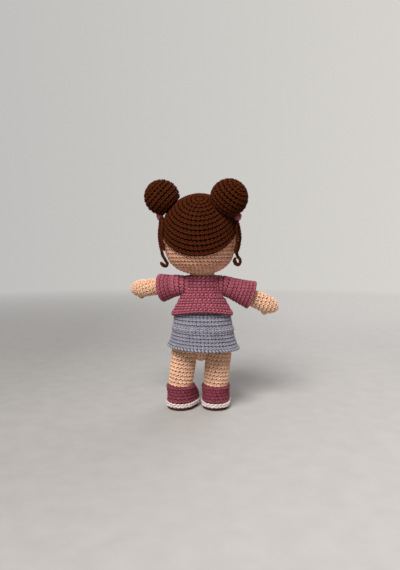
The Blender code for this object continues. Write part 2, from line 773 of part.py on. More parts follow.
def make_eye(name, side, head, skin, fill):
    out = eye_direction(side)
    seat = eye_seat()
    stem_end = -EYE_STEM_LENGTH
    dome = [
        (EYE_RADIUS * math.sin(turn), EYE_FLANGE + EYE_DOME_HEIGHT * math.cos(turn))
        for turn in (0.0, math.radians(30), math.radians(55), math.radians(78))
    ]
    dome += [(EYE_RADIUS, EYE_FLANGE), (EYE_RADIUS, 0.0), (EYE_STEM_RADIUS, 0.0)]
    dome += [(EYE_STEM_RADIUS, stem_end), (0.0, stem_end)]
    eye = turned("eye_" + name, dome, SMALL_SIDES, DOLL, EYE_BLACK, head)
    pointed(eye, out).location = out * seat

    start = out * (seat - EYE_STEM_LENGTH - GAP)
    length = EYE_STEM_LENGTH + CUT_OVERRUN
    hole = EYE_STEM_RADIUS + EYE_HOLE_CLEARANCE
    cut(skin, rod_cutter(name + "_eye_hole", start, out, hole, length, head))

    bore = EYE_STEM_RADIUS + WASHER_BORE_CLEARANCE
    flats = (HEAD_RADIUS - FABRIC) * math.cos(math.pi / HEAD_SIDES) ** 2
    outer_face = math.sqrt(flats ** 2 - WASHER_RADIUS ** 2) - GAP
    washer_outline = [
        (bore, 0.0),
        (WASHER_RADIUS, 0.0),
        (WASHER_RADIUS, -WASHER_THICKNESS),
        (bore, -WASHER_THICKNESS),
        (bore, 0.0),
    ]
    washer = turned("eye_washer_" + name, washer_outline, SMALL_SIDES, DOLL, WASHER_GREY, head)
    pointed(washer, out).location = out * outer_face
    pocket = WASHER_RADIUS + GAP + GAP
    cut(fill, rod_cutter(name + "_eye_pocket", start, out, pocket, length, head))


def bun_direction(side, back):
    level = Vector((side * math.cos(back), math.sin(back), 0))
    return level * math.cos(BUN_RISE) + Vector((0, 0, math.sin(BUN_RISE)))


def crease(radius, reach, thick):
    """Height and radius of a ring that rests on the cap and on a ball at this reach."""
    from_head = CAP_RADIUS + GAP + thick
    from_ball = radius + GAP + thick
    height = (from_head ** 2 - from_ball ** 2 + reach ** 2) / (2 * reach)
    return height, math.sqrt(from_head ** 2 - height ** 2)


def crease_place(bun, thick, turn):
    """Where a ball of this radius rests on both the cap and the bun.

    The turn goes round the bun's foot from its lowest point towards the front.
    """
    side, back, radius, sink, _ = bun
    out = bun_direction(side, back)
    height, ring_radius = crease(radius, CAP_RADIUS + radius - sink, thick)
    lowest = (Vector((0, 0, -1)) + out * out.z).normalized()
    across = lowest.cross(out) * side
    return out * height + (lowest * math.cos(turn) + across * math.sin(turn)) * ring_radius


def make_bun(name, bun, head):
    side, back, radius, sink, knot_turn = bun
    out = bun_direction(side, back)
    reach = CAP_RADIUS + radius - sink
    rim, _ = crease(radius - GAP, reach, 0.0)
    foot_angle = math.acos((rim - reach) / radius)
    outline = sphere_arc(radius, 0.0, foot_angle, 8)
    skin = turned("bun_" + name, outline, BUN_SIDES, DOLL, HAIR, head)
    pointed(skin, out).location = out * reach
    thicken(skin, FABRIC)

    fill_radius = radius - FABRIC - GAP - GAP
    fill_base = -(reach - CAP_RADIUS - GAP - GAP)
    fill_angle = math.acos(fill_base / fill_radius)
    fill_outline = sphere_arc(fill_radius, 0.0, fill_angle, 6) + [(0.0, fill_base)]
    fill = turned("bun_stuffing_" + name, fill_outline, BUN_SIDES // 2, DOLL, FILL, head)
    pointed(fill, out).location = out * reach

    ring_height, ring_radius = crease(radius, reach, BUN_TIE_RADIUS)
    turns = [2 * math.pi * i / TIE_SIDES for i in range(TIE_SIDES)]
    section = [
        (ring_radius + BUN_TIE_RADIUS * math.cos(turn), -BUN_TIE_RADIUS * math.sin(turn))
        for turn in turns
    ]
    section.append(section[0])
    tie = turned("bun_tie_" + name, section, BUN_SIDES, DOLL, RASPBERRY, head)
    pointed(tie, out).location = out * ring_height
    knot = crease_place(bun, BUN_KNOT_RADIUS, knot_turn)
    cut(tie, lump_cutter(name + "_knot", knot, BUN_KNOT_RADIUS, head), "UNION")


def lock_start(bun, turn, towards):
    """Where a lock begins: under the tie, clear of it, its knot, the bun and the cap."""
    side, back, radius, sink, knot_turn = bun
    out = bun_direction(side, back)
    reach = CAP_RADIUS + radius - sink
    height, ring_radius = crease(radius, reach, BUN_TIE_RADIUS)
    knot = crease_place(bun, BUN_KNOT_RADIUS, knot_turn)
    middle = crease_place(bun, BUN_TIE_RADIUS, turn)
    clear = CAP_RADIUS + GAP + LOCK_RADIUS
    for step in range(LOCK_SEARCH_STEPS):
        drop = middle - Vector((0, 0, GAP * step))
        level = Vector((drop.x, drop.y, 0))
        least = math.sqrt(max(clear ** 2 - drop.z ** 2, 0.0))
        place = level.normalized() * max(level.length, least) + Vector((0, 0, drop.z))
        way = (towards - place).normalized()
        first_side = way.orthogonal().normalized()
        other_side = way.cross(first_side)
        room = []
        for i in range(LIMB_SIDES):
            round_end = 2 * math.pi * i / LIMB_SIDES
            rim = place + first_side * LOCK_RADIUS * math.cos(round_end)
            rim += other_side * LOCK_RADIUS * math.sin(round_end)
            up_axis = rim.dot(out)
            from_axis = (rim - out * up_axis).length
            from_tie = math.hypot(up_axis - height, from_axis - ring_radius)
            room.append(from_tie - BUN_TIE_RADIUS)
            room.append((rim - knot).length - BUN_KNOT_RADIUS)
            room.append((rim - out * reach).length - radius)
        if min(room) >= LOCK_CLEARANCE:
            break
    return place


def lock_route(bun, turn, shares):
    """A smooth line from under the bun through the curl's own points."""
    knots = [Vector(share) * CAP_RADIUS for share in shares]
    knots.insert(0, lock_start(bun, turn, knots[0]))
    route = []
    for i in range(len(knots) - 1):
        before = knots[max(i - 1, 0)]
        here, after = knots[i], knots[i + 1]
        beyond = knots[min(i + 2, len(knots) - 1)]
        middle = (here + after) * 9 / 16 - (before + beyond) / 16
        route += [here, middle]
    return route + [knots[-1]]


def make_lock(name, route, root):
    curve = bpy.data.curves.new(name, "CURVE")
    curve.dimensions = "3D"
    curve.bevel_depth = LOCK_RADIUS
    curve.bevel_resolution = 1
    curve.use_fill_caps = True
    line = curve.splines.new("POLY")
    line.points.add(len(route) - 1)
    for point, place in zip(line.points, route):
        point.co = (*(place - root.location), 1)
    curve.materials.append(HAIR)
    made = bpy.data.objects.new(name, curve)
    DOLL.objects.link(made)
    made.parent = root


def make_locks(name, outer, inner, root_share, head):
    root = pivot(name + "_lock_root", outer[0].lerp(inner[0], root_share), head)
    make_lock("lock_" + name + "_outer", outer, root)
    make_lock("lock_" + name + "_inner", inner, root)


def cap_rings():
    """The cap follows the head at its gap; it is worked round a crown that leans back."""
    lean = Matrix.Rotation(-CAP_LEAN_BACK, 3, "X")
    shares = [CAP_CROWN_SHARE] + [i / CAP_STEPS for i in range(1, CAP_STEPS + 1)]
    rings = []
    for share in shares:
        ring = []
        for i in range(CAP_SIDES):
            turn = 2 * math.pi * i / CAP_SIDES
            to_back = math.sin(turn) ** 2
            span = CAP_SIDE_SPAN + (CAP_BACK_SPAN - CAP_SIDE_SPAN) * to_back
            slope = (span + CAP_SIDE_LEAN * math.cos(turn)) * share
            level = Vector((math.cos(turn), math.sin(turn), 0)) * math.sin(slope)
            out = lean @ (level + Vector((0, 0, math.cos(slope))))
            ring.append(out * head_reach(out, CAP_GAP + CAP_WALL))
        rings.append(ring)
    return rings


def make_head():
    neck = pivot("neck", Vector((0, 0, HEAD_HEIGHT)), DOLL_AXIS)
    head = pivot("head_centre", Vector((HEAD_LEAN_X, 0, 0)), neck)
    skin = turned("head_skin", head_outline(), HEAD_SIDES, DOLL, SKIN, head)
    thicken(skin, FABRIC)
    inside = inset_outline(head_outline(), FABRIC + GAP)
    inside.append((0.0, inside[-1][1]))
    fill = turned("head_stuffing", inside, HEAD_SIDES // 2, DOLL, FILL, head)

    neck_room = NECK_RADIUS + GAP + GAP
    neck_base = Vector((0, 0, SWEATER_NECKLINE))
    neck_height = NECK_TOP + GAP + GAP - SWEATER_NECKLINE
    neck_cut = rod_cutter("neck_cut", neck_base, Vector((0, 0, 1)), neck_room, neck_height)
    cut(skin, neck_cut)
    cut(fill, neck_cut)

    thicken(loft("hair_cap", cap_rings(), HAIR, head, close_top=True), CAP_WALL)
    make_eye("left", 1, head, skin, fill)
    make_eye("right", -1, head, skin, fill)
    left_bun = (1, LEFT_BUN_BACK, LEFT_BUN_RADIUS, LEFT_BUN_SINK, LEFT_KNOT_TURN)
    right_bun = (-1, RIGHT_BUN_BACK, RIGHT_BUN_RADIUS, RIGHT_BUN_SINK, RIGHT_KNOT_TURN)
    make_bun("left", left_bun, head)
    make_bun("right", right_bun, head)
    left_outer = lock_route(left_bun, LEFT_OUTER_START, LEFT_OUTER_SHARES)
    left_inner = lock_route(left_bun, LEFT_INNER_START, LEFT_INNER_SHARES)
    right_outer = lock_route(right_bun, RIGHT_OUTER_START, RIGHT_OUTER_SHARES)
    right_inner = lock_route(right_bun, RIGHT_INNER_START, RIGHT_INNER_SHARES)
    make_locks("left", left_outer, left_inner, LEFT_ROOT_SHARE, head)
    make_locks("right", right_outer, right_inner, RIGHT_ROOT_SHARE, head)


make_torso()
make_skirt()
doll_sweater = make_sweater()
make_arm(
    "left", 1, (LEFT_ARM_FORWARD, LEFT_ARM_DOWN), (LEFT_SLEEVE_FORWARD, LEFT_SLEEVE_DOWN),
    LEFT_SLEEVE_LENGTH, doll_sweater
)
make_arm(
    "right", -1, (RIGHT_ARM_FORWARD, RIGHT_ARM_DOWN), (RIGHT_SLEEVE_FORWARD, RIGHT_SLEEVE_DOWN),
    RIGHT_SLEEVE_LENGTH, doll_sweater
)
make_leg("left", 1, LEFT_FOOT_X, LEFT_TOE_TURN)
make_leg("right", -1, RIGHT_FOOT_X, RIGHT_TOE_TURN)
make_head()
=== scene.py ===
"""The crocheted doll's looks: the soft CAD solids get stitches, laid round by round on their own surfaces.
Places and sizes are in millimetres until a mesh is made."""
import math

import bmesh
import bpy
import numpy as np
from mathutils import Matrix, Vector
from mathutils.bvhtree import BVHTree

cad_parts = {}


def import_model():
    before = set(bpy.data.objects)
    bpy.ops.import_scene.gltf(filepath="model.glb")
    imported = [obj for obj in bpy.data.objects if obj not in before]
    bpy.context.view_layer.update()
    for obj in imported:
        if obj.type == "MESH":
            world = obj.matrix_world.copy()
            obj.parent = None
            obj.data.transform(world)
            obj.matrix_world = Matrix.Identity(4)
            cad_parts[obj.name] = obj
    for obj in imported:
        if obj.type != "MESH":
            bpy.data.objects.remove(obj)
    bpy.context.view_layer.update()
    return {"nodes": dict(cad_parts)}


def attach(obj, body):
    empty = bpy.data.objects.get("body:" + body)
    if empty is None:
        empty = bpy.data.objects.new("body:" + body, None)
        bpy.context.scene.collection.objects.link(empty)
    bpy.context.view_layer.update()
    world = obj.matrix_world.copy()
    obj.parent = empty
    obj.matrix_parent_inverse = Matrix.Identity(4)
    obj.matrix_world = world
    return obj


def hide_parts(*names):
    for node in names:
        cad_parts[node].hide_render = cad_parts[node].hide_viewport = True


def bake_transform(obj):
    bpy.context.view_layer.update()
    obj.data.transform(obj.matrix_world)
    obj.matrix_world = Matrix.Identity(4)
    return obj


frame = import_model()

MM = 0.001
FULL_TURN = 2 * math.pi


# ---------------- materials


class Nodes:
    """A short way to write the nodes of a material or of the world."""

    def __init__(self, owner):
        self.owner = owner
        owner.use_nodes = True
        self.tree = owner.node_tree
        self.tree.nodes.clear()

    def add(self, kind, links=(), **settings):
        """A node. links gives each socket another node's output or a value."""
        node = self.tree.nodes.new("ShaderNode" + kind)
        for key, value in settings.items():
            setattr(node, key, value)
        for socket, source in dict(links).items():
            if isinstance(source, bpy.types.NodeSocket):
                self.tree.links.new(source, node.inputs[socket])
            else:
                node.inputs[socket].default_value = source
        return node

    def math(self, operation, first, second=0.0, third=0.0):
        links = {0: first, 1: second, 2: third}
        return self.add("Math", links, operation=operation).outputs[0]

    def spread(self, value, low, high, new_low=0.0, new_high=1.0):
        links = {"Value": value, "From Min": low, "From Max": high, "To Min": new_low, "To Max": new_high}
        return self.add("MapRange", links).outputs["Result"]

    def mix(self, share, first, second, blend="MIX"):
        links = {0: share, 6: first, 7: second}
        return self.add("Mix", links, data_type="RGBA", blend_type=blend).outputs[2]


PLIES, TWIST_PER_MM = 4, 0.24


def yarn(name, colour, deep, sheen=0.12, gloss=0.3, blush=None):
    """Plied cotton yarn: ply lines round each strand, with painted shade in their grooves, fine fibres, painted
    shade at the roots of the stitches (the colour deep) and a small change from stitch to stitch. The mesh's marks
    hold depth, chance and blush."""
    n = Nodes(bpy.data.materials.new(name))
    attribute = n.add("Attribute", attribute_name="marks")
    marks = n.add("SeparateColor", {"Color": attribute.outputs["Color"]})
    depth, chance = marks.outputs[0], marks.outputs[1]
    place = n.add("TexCoord").outputs["Object"]
    run = n.add("SeparateXYZ", {"Vector": n.add("UVMap", uv_map="strand").outputs["UV"]})
    turns = n.math("MULTIPLY_ADD", run.outputs[0], TWIST_PER_MM, run.outputs[1])
    ply = n.math("SINE", n.math("MULTIPLY", turns, FULL_TURN * PLIES))
    ply = n.spread(ply, -1.0, 1.0)
    fibre_place = n.add("CombineXYZ", {
        "X": n.math("MULTIPLY", run.outputs[0], 0.35), "Y": n.math("MULTIPLY", turns, 9.0), "Z": chance})
    fibre = n.add("TexNoise", {
        "Vector": fibre_place.outputs[0], "Scale": 3.0, "Detail": 3.0, "Roughness": 0.65}).outputs["Fac"]
    cloud = n.add("TexNoise", {"Vector": place, "Scale": 130.0, "Detail": 2.0}).outputs["Fac"]
    fuzz = n.add("TexNoise", {"Vector": place, "Scale": 2600.0, "Detail": 2.0}).outputs["Fac"]

    # painted shade: the colour darkens to deep where each stitch sinks into the fabric, and on the dark inside
    tone = n.mix(n.spread(depth, 0.1, 0.8), (*deep, 1), (*colour, 1))
    if blush:
        tone = n.mix(marks.outputs[2], tone, (*blush, 1))
    bright = n.math("MULTIPLY", n.spread(chance, 0.0, 1.0, 0.9, 1.09), n.spread(cloud, 0.3, 0.7, 0.94, 1.06))
    # painted shade in the grooves between the plies
    bright = n.math("MULTIPLY", bright, n.spread(ply, 0.0, 0.6, 0.86, 1.02))
    bright = n.math("MULTIPLY", bright, n.spread(fibre, 0.3, 0.7, 0.9, 1.08))
    tinted = n.add("HueSaturation", {"Value": bright, "Color": tone}).outputs["Color"]

    height = n.math("MULTIPLY_ADD", fibre, 0.5, ply)
    height = n.math("MULTIPLY_ADD", fuzz, 0.35, height)
    bump = n.add("Bump", {"Height": height, "Strength": 0.5, "Distance": 0.16 * MM})
    sheen_tint = (*[min(1.0, c * 1.5 + 0.05) for c in colour], 1)
    shader = n.add("BsdfPrincipled", {
        "Base Color": tinted, "Roughness": n.spread(fibre, 0.2, 0.8, 0.72, 0.92), "Normal": bump.outputs[0],
        "Sheen Weight": sheen, "Sheen Roughness": 0.45, "Sheen Tint": sheen_tint, "Specular IOR Level": gloss})
    n.add("OutputMaterial", {"Surface": shader.outputs[0]})
    return n.owner


SKIN = yarn("skin_cotton", (0.92, 0.57, 0.39), (0.30, 0.115, 0.065))
# the skin yarn painted darker for the head: painted shade; the blush on the cheeks is the doll's own colour
SHADED_FACE = yarn("face_cotton_painted_shade", (0.77, 0.41, 0.275), (0.23, 0.08, 0.048), blush=(0.62, 0.20, 0.17))
HAIR = yarn("hair_cotton", (0.070, 0.0154, 0.0042), (0.004, 0.0010, 0.0004), sheen=0.003, gloss=0.03)
RASPBERRY = yarn("raspberry_cotton", (0.42, 0.102, 0.148), (0.07, 0.009, 0.018))
# the sweater's raspberry painted darker for the sleeves: painted shade on the same yarn
SHADED_SLEEVE_RASPBERRY = yarn("sleeve_raspberry_painted_shade", (0.36, 0.083, 0.122), (0.055, 0.007, 0.014))
SHOE_RASPBERRY = yarn("shoe_raspberry_cotton", (0.29, 0.055, 0.085), (0.055, 0.008, 0.014), sheen=0.08)
GREY_BLUE = yarn("grey_blue_cotton", (0.315, 0.312, 0.38), (0.032, 0.030, 0.045))
WHITE = yarn("white_cotton", (0.86, 0.75, 0.72), (0.45, 0.33, 0.31))


def plastic(name, colour, roughness):
    """Moulded plastic with faint scuffs."""
    n = Nodes(bpy.data.materials.new(name))
    place = n.add("TexCoord").outputs["Object"]
    wear = n.add("TexNoise", {"Vector": place, "Scale": 900.0, "Detail": 4.0}).outputs["Fac"]
    scuffs = n.add("TexNoise", {"Vector": place, "Scale": 220.0, "Detail": 2.0}).outputs["Fac"]
    scuffed = (*[c * 1.5 + 0.004 for c in colour], 1)
    tone = n.mix(n.spread(scuffs, 0.35, 0.7), (*colour, 1), scuffed)
    bump = n.add("Bump", {"Height": wear, "Strength": 0.05, "Distance": 0.05 * MM})
    shader = n.add("BsdfPrincipled", {
        "Base Color": tone, "Roughness": n.spread(wear, 0.3, 0.7, roughness, roughness + 0.1),
        "Normal": bump.outputs[0], "Coat Weight": 0.0})
    n.add("OutputMaterial", {"Surface": shader.outputs[0]})
    return n.owner


EYE_BLACK = plastic("eye_gloss_black", (0.004, 0.0035, 0.004), 0.16)
WASHER = plastic("washer_milky", (0.62, 0.61, 0.58), 0.42)


# ---------------- surfaces


def unit(ways):
    return ways / np.linalg.norm(ways, axis=-1, keepdims=True)


class Surface:
    """A grid of places: rows evenly spaced down its length, columns round it. All in millimetres."""

    def __init__(self, grid, out):
        steps = np.linalg.norm(np.diff(grid, axis=0), axis=2).mean(axis=1)
        far = np.concatenate([[0.0], np.cumsum(steps)])
        self.length = far[-1]
        self.rows, self.columns = len(grid) - 1, grid.shape[1]
        even = np.linspace(0, self.length, self.rows + 1)

        def evened(table):
            flat = table.reshape(len(table), -1)
            return np.stack([np.interp(even, far, c) for c in flat.T], axis=1).reshape(table.shape)

        self.grid, out = evened(grid), evened(out)
        round_it = np.roll(self.grid, -1, axis=1) - np.roll(self.grid, 1, axis=1)
        down = np.gradient(self.grid, axis=0)
        normal = np.cross(round_it, down)
        size = np.linalg.norm(normal, axis=2, keepdims=True)
        weak = size[..., 0] < 1e-4
        normal = normal / np.maximum(size, 1e-9)
        self.hand = 1.0 if (normal * out).sum() > 0 else -1.0
        normal *= self.hand
        normal[weak] = out[weak]
        self.normal = unit(normal)

    def read(self, table, along, turn):
        """The table between its rows and columns."""
        row = along / self.length * self.rows
        r0 = np.clip(np.floor(row).astype(int), 0, self.rows - 1)
        fr = (row - r0)[..., None]
        col = np.mod(turn / FULL_TURN, 1.0) * self.columns
        c0 = np.floor(col).astype(int) % self.columns
        c1 = (c0 + 1) % self.columns
        fc = (col - np.floor(col))[..., None]
        upper = table[r0, c0] * (1 - fc) + table[r0, c1] * fc
        lower = table[r0 + 1, c0] * (1 - fc) + table[r0 + 1, c1] * fc
        return upper * (1 - fr) + lower * fr

    def place(self, along, turn, height):
        """Places at a distance down the surface, a turn round it and a height over it."""
        normal = unit(self.read(self.normal, along, turn))
        return self.read(self.grid, along, turn) + normal * height[..., None]

    def around(self, along):
        """The girth at a distance down the surface."""
        turns = np.linspace(0, FULL_TURN, 49)
        ring = self.read(self.grid, np.full(49, along), turns)
        return np.linalg.norm(np.diff(ring, axis=0), axis=1).sum()


def tree_of(node):
    mesh = frame["nodes"][node].data
    points = [v.co / MM for v in mesh.vertices]
    return BVHTree.FromPolygons(points, [tuple(p.vertices) for p in mesh.polygons])


def survey(node, aim, harmonics=0, turns=48, steps=110):
    """The node's outer surface round a spine. aim(share, turn) gives the spine's place and the way a ray leaves it.
    Harmonics are the waves kept round each ring: with none the surface is a turned one."""
    tree = tree_of(node)
    far = 90.0
    reach = np.full((steps + 1, turns), np.nan)
    middles, outs = np.zeros((2, steps + 1, turns, 3))
    for i in range(steps + 1):
        for j in range(turns):
            share = min(max(i / steps, 0.002), 0.998)
            middle, out = aim(share, FULL_TURN * j / turns)
            middles[i, j], outs[i, j] = middle, out
            hit = tree.ray_cast(middle + out * far, -out, far)[0]
            if hit is not None:
                reach[i, j] = (hit - middle).length
    typical = np.nanmedian(reach, axis=1)
    known = ~np.isnan(typical)
    typical = np.interp(np.arange(steps + 1), np.flatnonzero(known), typical[known])
    if harmonics:
        reach = np.where(np.isnan(reach), typical[:, None], reach)
        waves = np.fft.rfft(reach, axis=1)
        waves[:, harmonics + 1:] = 0
        reach = np.fft.irfft(waves, turns, axis=1)
    else:
        reach = np.repeat(typical[:, None] * 1.004, turns, axis=1)
    longer = np.concatenate([reach[:1]] * 2 + [reach] + [reach[-1:]] * 2)
    smoothed = sum(longer[k:k + steps + 1] for k in range(5)) / 5
    reach[2:-2] = smoothed[2:-2]
    return Surface(middles + outs * reach[..., None], outs)


def frame_of(axis):
    """Two directions square to an axis."""
    axis = Vector(axis).normalized()
    side = Vector((1, 0, 0)) if abs(axis.x) < 0.8 else Vector((0, 1, 0))
    first = (side - axis * side.dot(axis)).normalized()
    return axis, first, axis.cross(first)


def pole_aim(origin, axis, stations):
    """Rays from places on an axis. stations lists (distance on the axis, angle from it in degrees)."""
    axis, first, second = frame_of(axis)
    origin = Vector(origin)
    shares = np.linspace(0, 1, len(stations))
    distances, angles = zip(*stations)

    def aim(share, turn):
        angle = math.radians(np.interp(share, shares, angles))
        level = first * math.cos(turn) + second * math.sin(turn)
        middle = origin + axis * float(np.interp(share, shares, distances))
        return middle, axis * math.cos(angle) + level * math.sin(angle)

    return aim


def level_aim(places):
    """Level rays from a line of places."""
    shares = np.linspace(0, 1, len(places))
    columns = list(zip(*places))

    def aim(share, turn):
        middle = Vector([float(np.interp(share, shares, c)) for c in columns])
        return middle, Vector((math.cos(turn), math.sin(turn), 0))

    return aim


def carried(runs, hint):
    """Two directions square to each run, carried along the line without twist."""
    runs = unit(runs)
    side, sides = np.cross(runs[0], hint), []
    for run in runs:
        side = unit(side - run * (side @ run))
        sides.append(side)
    sides = np.array(sides)
    return sides, np.cross(runs, sides)


def tube(line, radius, columns=16):
    """The surface round a line of places."""
    line = np.array(line, float)
    sides, ups = carried(np.gradient(line, axis=0), (0.3, 1.0, 0.2))
    turns = np.linspace(0, FULL_TURN, columns, endpoint=False)
    outs = sides[:, None] * np.cos(turns)[None, :, None] + ups[:, None] * np.sin(turns)[None, :, None]
    radius = np.broadcast_to(np.asarray(radius, float), (len(line),))
    return Surface(line[:, None] + outs * radius[:, None, None], outs)


# ---------------- stitches


def lobe(start, pull, end, radius, flat=0.8, sides=6, rings=5):
    """One leg of a stitch: a plump strand from start to end, pulled towards a third point. Both ends sink out of
    sight. x runs round the surface, y down it and z off it."""
    start, pull, end = (np.array(p, float) for p in (start, pull, end))
    t = (np.arange(rings) + 0.6) / (rings + 0.2)
    t = t[:, None]
    line = start * (1 - t) ** 2 + pull * 2 * t * (1 - t) + end * t ** 2
    runs = unit(2 * (1 - t) * (pull - start) + 2 * t * (end - pull))
    across = unit(np.cross(runs, (0.0, 0.0, 1.0)))
    rise = np.cross(across, runs)
    plump = radius * np.sin(math.pi * t[:, 0]) ** 0.42
    angles = FULL_TURN * np.arange(sides) / sides + math.pi / 2
    ring = (across[:, None] * np.cos(angles)[None, :, None]
            + rise[:, None] * flat * np.sin(angles)[None, :, None]) * plump[:, None, None]
    points = (line[:, None] + ring).reshape(-1, 3)
    points = np.concatenate([[start], points, [end]])
    far = np.linalg.norm(end - start)
    faces, strand = [], []
    for s in range(sides):
        n = (s + 1) % sides
        faces.append((0, 1 + n, 1 + s))
        strand.append(((0, s + 0.5), (t[0, 0], s + 1), (t[0, 0], s)))
    for r in range(rings - 1):
        a, b = 1 + r * sides, 1 + (r + 1) * sides
        for s in range(sides):
            n = (s + 1) % sides
            faces.append((a + s, a + n, b + n, b + s))
            strand.append(((t[r, 0], s), (t[r, 0], s + 1), (t[r + 1, 0], s + 1), (t[r + 1, 0], s)))
    last = 1 + (rings - 1) * sides
    for s in range(sides):
        n = (s + 1) % sides
        faces.append((last + s, last + n, len(points) - 1))
        strand.append(((t[-1, 0], s), (t[-1, 0], s + 1), (1, s + 0.5)))
    strand = [[(u * far, v / sides) for u, v in face] for face in strand]
    return points, faces, strand


class Stitch:
    """A stitch made of lobes, drawn for a nominal width and row height in millimetres."""

    def __init__(self, width, height, *lobes):
        self.width, self.height = width, height
        points, faces, strand, base = [], [], [], 0
        for p, f, s in lobes:
            points.append(p)
            faces += [tuple(i + base for i in face) for face in f]
            strand += s
            base += len(p)
        self.points = np.concatenate(points)
        self.loops = np.array([i for face in faces for i in face])
        self.totals = np.array([len(face) for face in faces])
        self.strand = np.array([uv for face in strand for uv in face])
        # depth: how high each point stands in the stitch; the yarn paints shade where it is low
        low, high = self.points[:, 2].min(), self.points[:, 2].max()
        self.depth = np.clip((self.points[:, 2] - low) / (high - low), 0, 1)


LEG = 0.84


def single(width, height, plump=1.0, rise=0.0, foot=0.30, bar=0.68, sink=-0.95):
    """Single crochet: a wide V of two legs under the bar of the loops that the next round is worked into.
    The V stands on the round before at foot; between two feet is the dark hole where the hook went in."""
    w, h = width / 3.7, height / 3.3
    left = lobe((0.30 * w, foot * h, sink), (-0.70 * w, 0.95 * h, 0.80 + rise), (-1.80 * w, 2.45 * h, -0.65),
                LEG * plump)
    right = lobe((-0.30 * w, foot * h, sink), (0.80 * w, 0.90 * h, 0.95 + rise), (1.80 * w, 2.35 * h, -0.65),
                 LEG * plump)
    top = lobe((-1.95 * w, 2.25 * h, -0.75), (0.0, 2.75 * h, 0.95 + rise), (1.95 * w, 2.45 * h, -0.75),
               bar * plump)
    return Stitch(width, height, left, right, top)


def half_double(width, height):
    """Half double crochet: a low V, and above it a braid of slanted loops."""
    w, h = width / 3.7, height / 5.5
    left = lobe((0.2 * w, 0.55 * h, -0.9), (-0.8 * w, 1.3 * h, 0.9), (-1.6 * w, 3.3 * h, -0.8), LEG)
    right = lobe((-0.2 * w, 0.55 * h, -0.9), (0.9 * w, 1.2 * h, 1.0), (1.6 * w, 3.2 * h, -0.8), LEG)
    ridge = lobe((-2.0 * w, 3.0 * h, -0.7), (-0.3 * w, 3.5 * h, 1.5), (2.0 * w, 4.9 * h, -0.7), 0.86)
    under = lobe((-2.0 * w, 4.9 * h, -0.7), (0.0 * w, 4.9 * h, 1.2), (2.0 * w, 3.9 * h, -0.7), 0.72)
    return Stitch(width, height, left, right, ridge, under)


def slanted(width, height):
    """An edging: one thick leg laid across at a slant."""
    w, h = width / 3.0, height / 3.0
    return Stitch(width, height, lobe((-1.5 * w, 0.3 * h, -0.5), (0.0, 1.4 * h, 1.9), (1.5 * w, 2.9 * h, -0.5), 1.0))


# how far one stitch may differ from the next: twist, width, place sideways, height and thickness
VARIETY = (0.10, 0.05, 0.03, 0.04, 0.09)


def lay(surface, stitch, first=0.0, last=None, up=1, lean=0.37, seed=1, keep=None, lift=0.0, least=6, rows=None,
        blush=None):
    """Lays rounds of a stitch on a surface between two distances down it. up turns the stitch over, lean is each
    round's step sideways in stitches, keep chooses places, lift raises the work. Returns a part: points, loops,
    totals, strand and marks."""
    rng = np.random.default_rng(seed)
    last = surface.length if last is None else last
    count = rows or max(1, round((last - first) / stitch.height))
    tall = (last - first) / count
    points, marks, strands = [], [], []
    phase = 0.0
    for row in range(count):
        middle = first + (row + 0.5) * tall
        number = max(least, round(surface.around(middle) / stitch.width))
        step = FULL_TURN / number
        phase += lean * step
        turns = phase + step * np.arange(number)
        centres = surface.place(np.full(number, middle), turns, np.zeros(number))
        chosen = np.array([keep is None or bool(keep(Vector(c))) for c in centres])
        if not chosen.any():
            continue
        turns, centres = turns[chosen], centres[chosen]
        number = len(turns)
        jitter = rng.uniform(-1, 1, (number, 5)) * VARIETY
        twist, wider, aside, taller, proud = (jitter[:, k:k + 1] for k in range(5))
        x = stitch.points[None, :, 0] / stitch.width
        y = stitch.points[None, :, 1] / stitch.height
        a = x * (1 + wider) + twist * (y - 0.5) + aside
        b = 0.5 + up * (y - 0.5) * (1 + taller)
        height = stitch.points[None, :, 2] + proud + lift
        along = np.maximum(first + (row + b) * tall, 0.08)
        points.append(surface.place(along, turns[:, None] + a * step, height).reshape(-1, 3))
        chance = rng.uniform(0, 1, number)
        mark = np.ones((number, len(stitch.points), 4))
        mark[..., 0] = stitch.depth[None]
        mark[..., 1] = chance[:, None]
        mark[..., 2] = 0.0 if blush is None else np.array([blush(Vector(c)) for c in centres])[:, None]
        marks.append(mark.reshape(-1, 4))
        shift = rng.uniform(0, 30, (number, 1, 1))
        strands.append((stitch.strand[None] + shift).reshape(-1, 2))
    points, marks, strands = np.concatenate(points), np.concatenate(marks), np.concatenate(strands)
    copies = len(points) // len(stitch.points)
    loops = (stitch.loops[None] + len(stitch.points) * np.arange(copies)[:, None]).ravel()
    totals = np.tile(stitch.totals, copies)
    if surface.hand * up < 0:
        starts = np.concatenate([[0], np.cumsum(totals)[:-1]])
        order = np.concatenate([np.arange(s + t - 1, s - 1, -1) for s, t in zip(starts, totals)])
        loops, strands = loops[order], strands[order]
    return points, loops, totals, strands, marks


def linked(name, data):
    made = bpy.data.objects.new(name, data)
    bpy.context.scene.collection.objects.link(made)
    return made


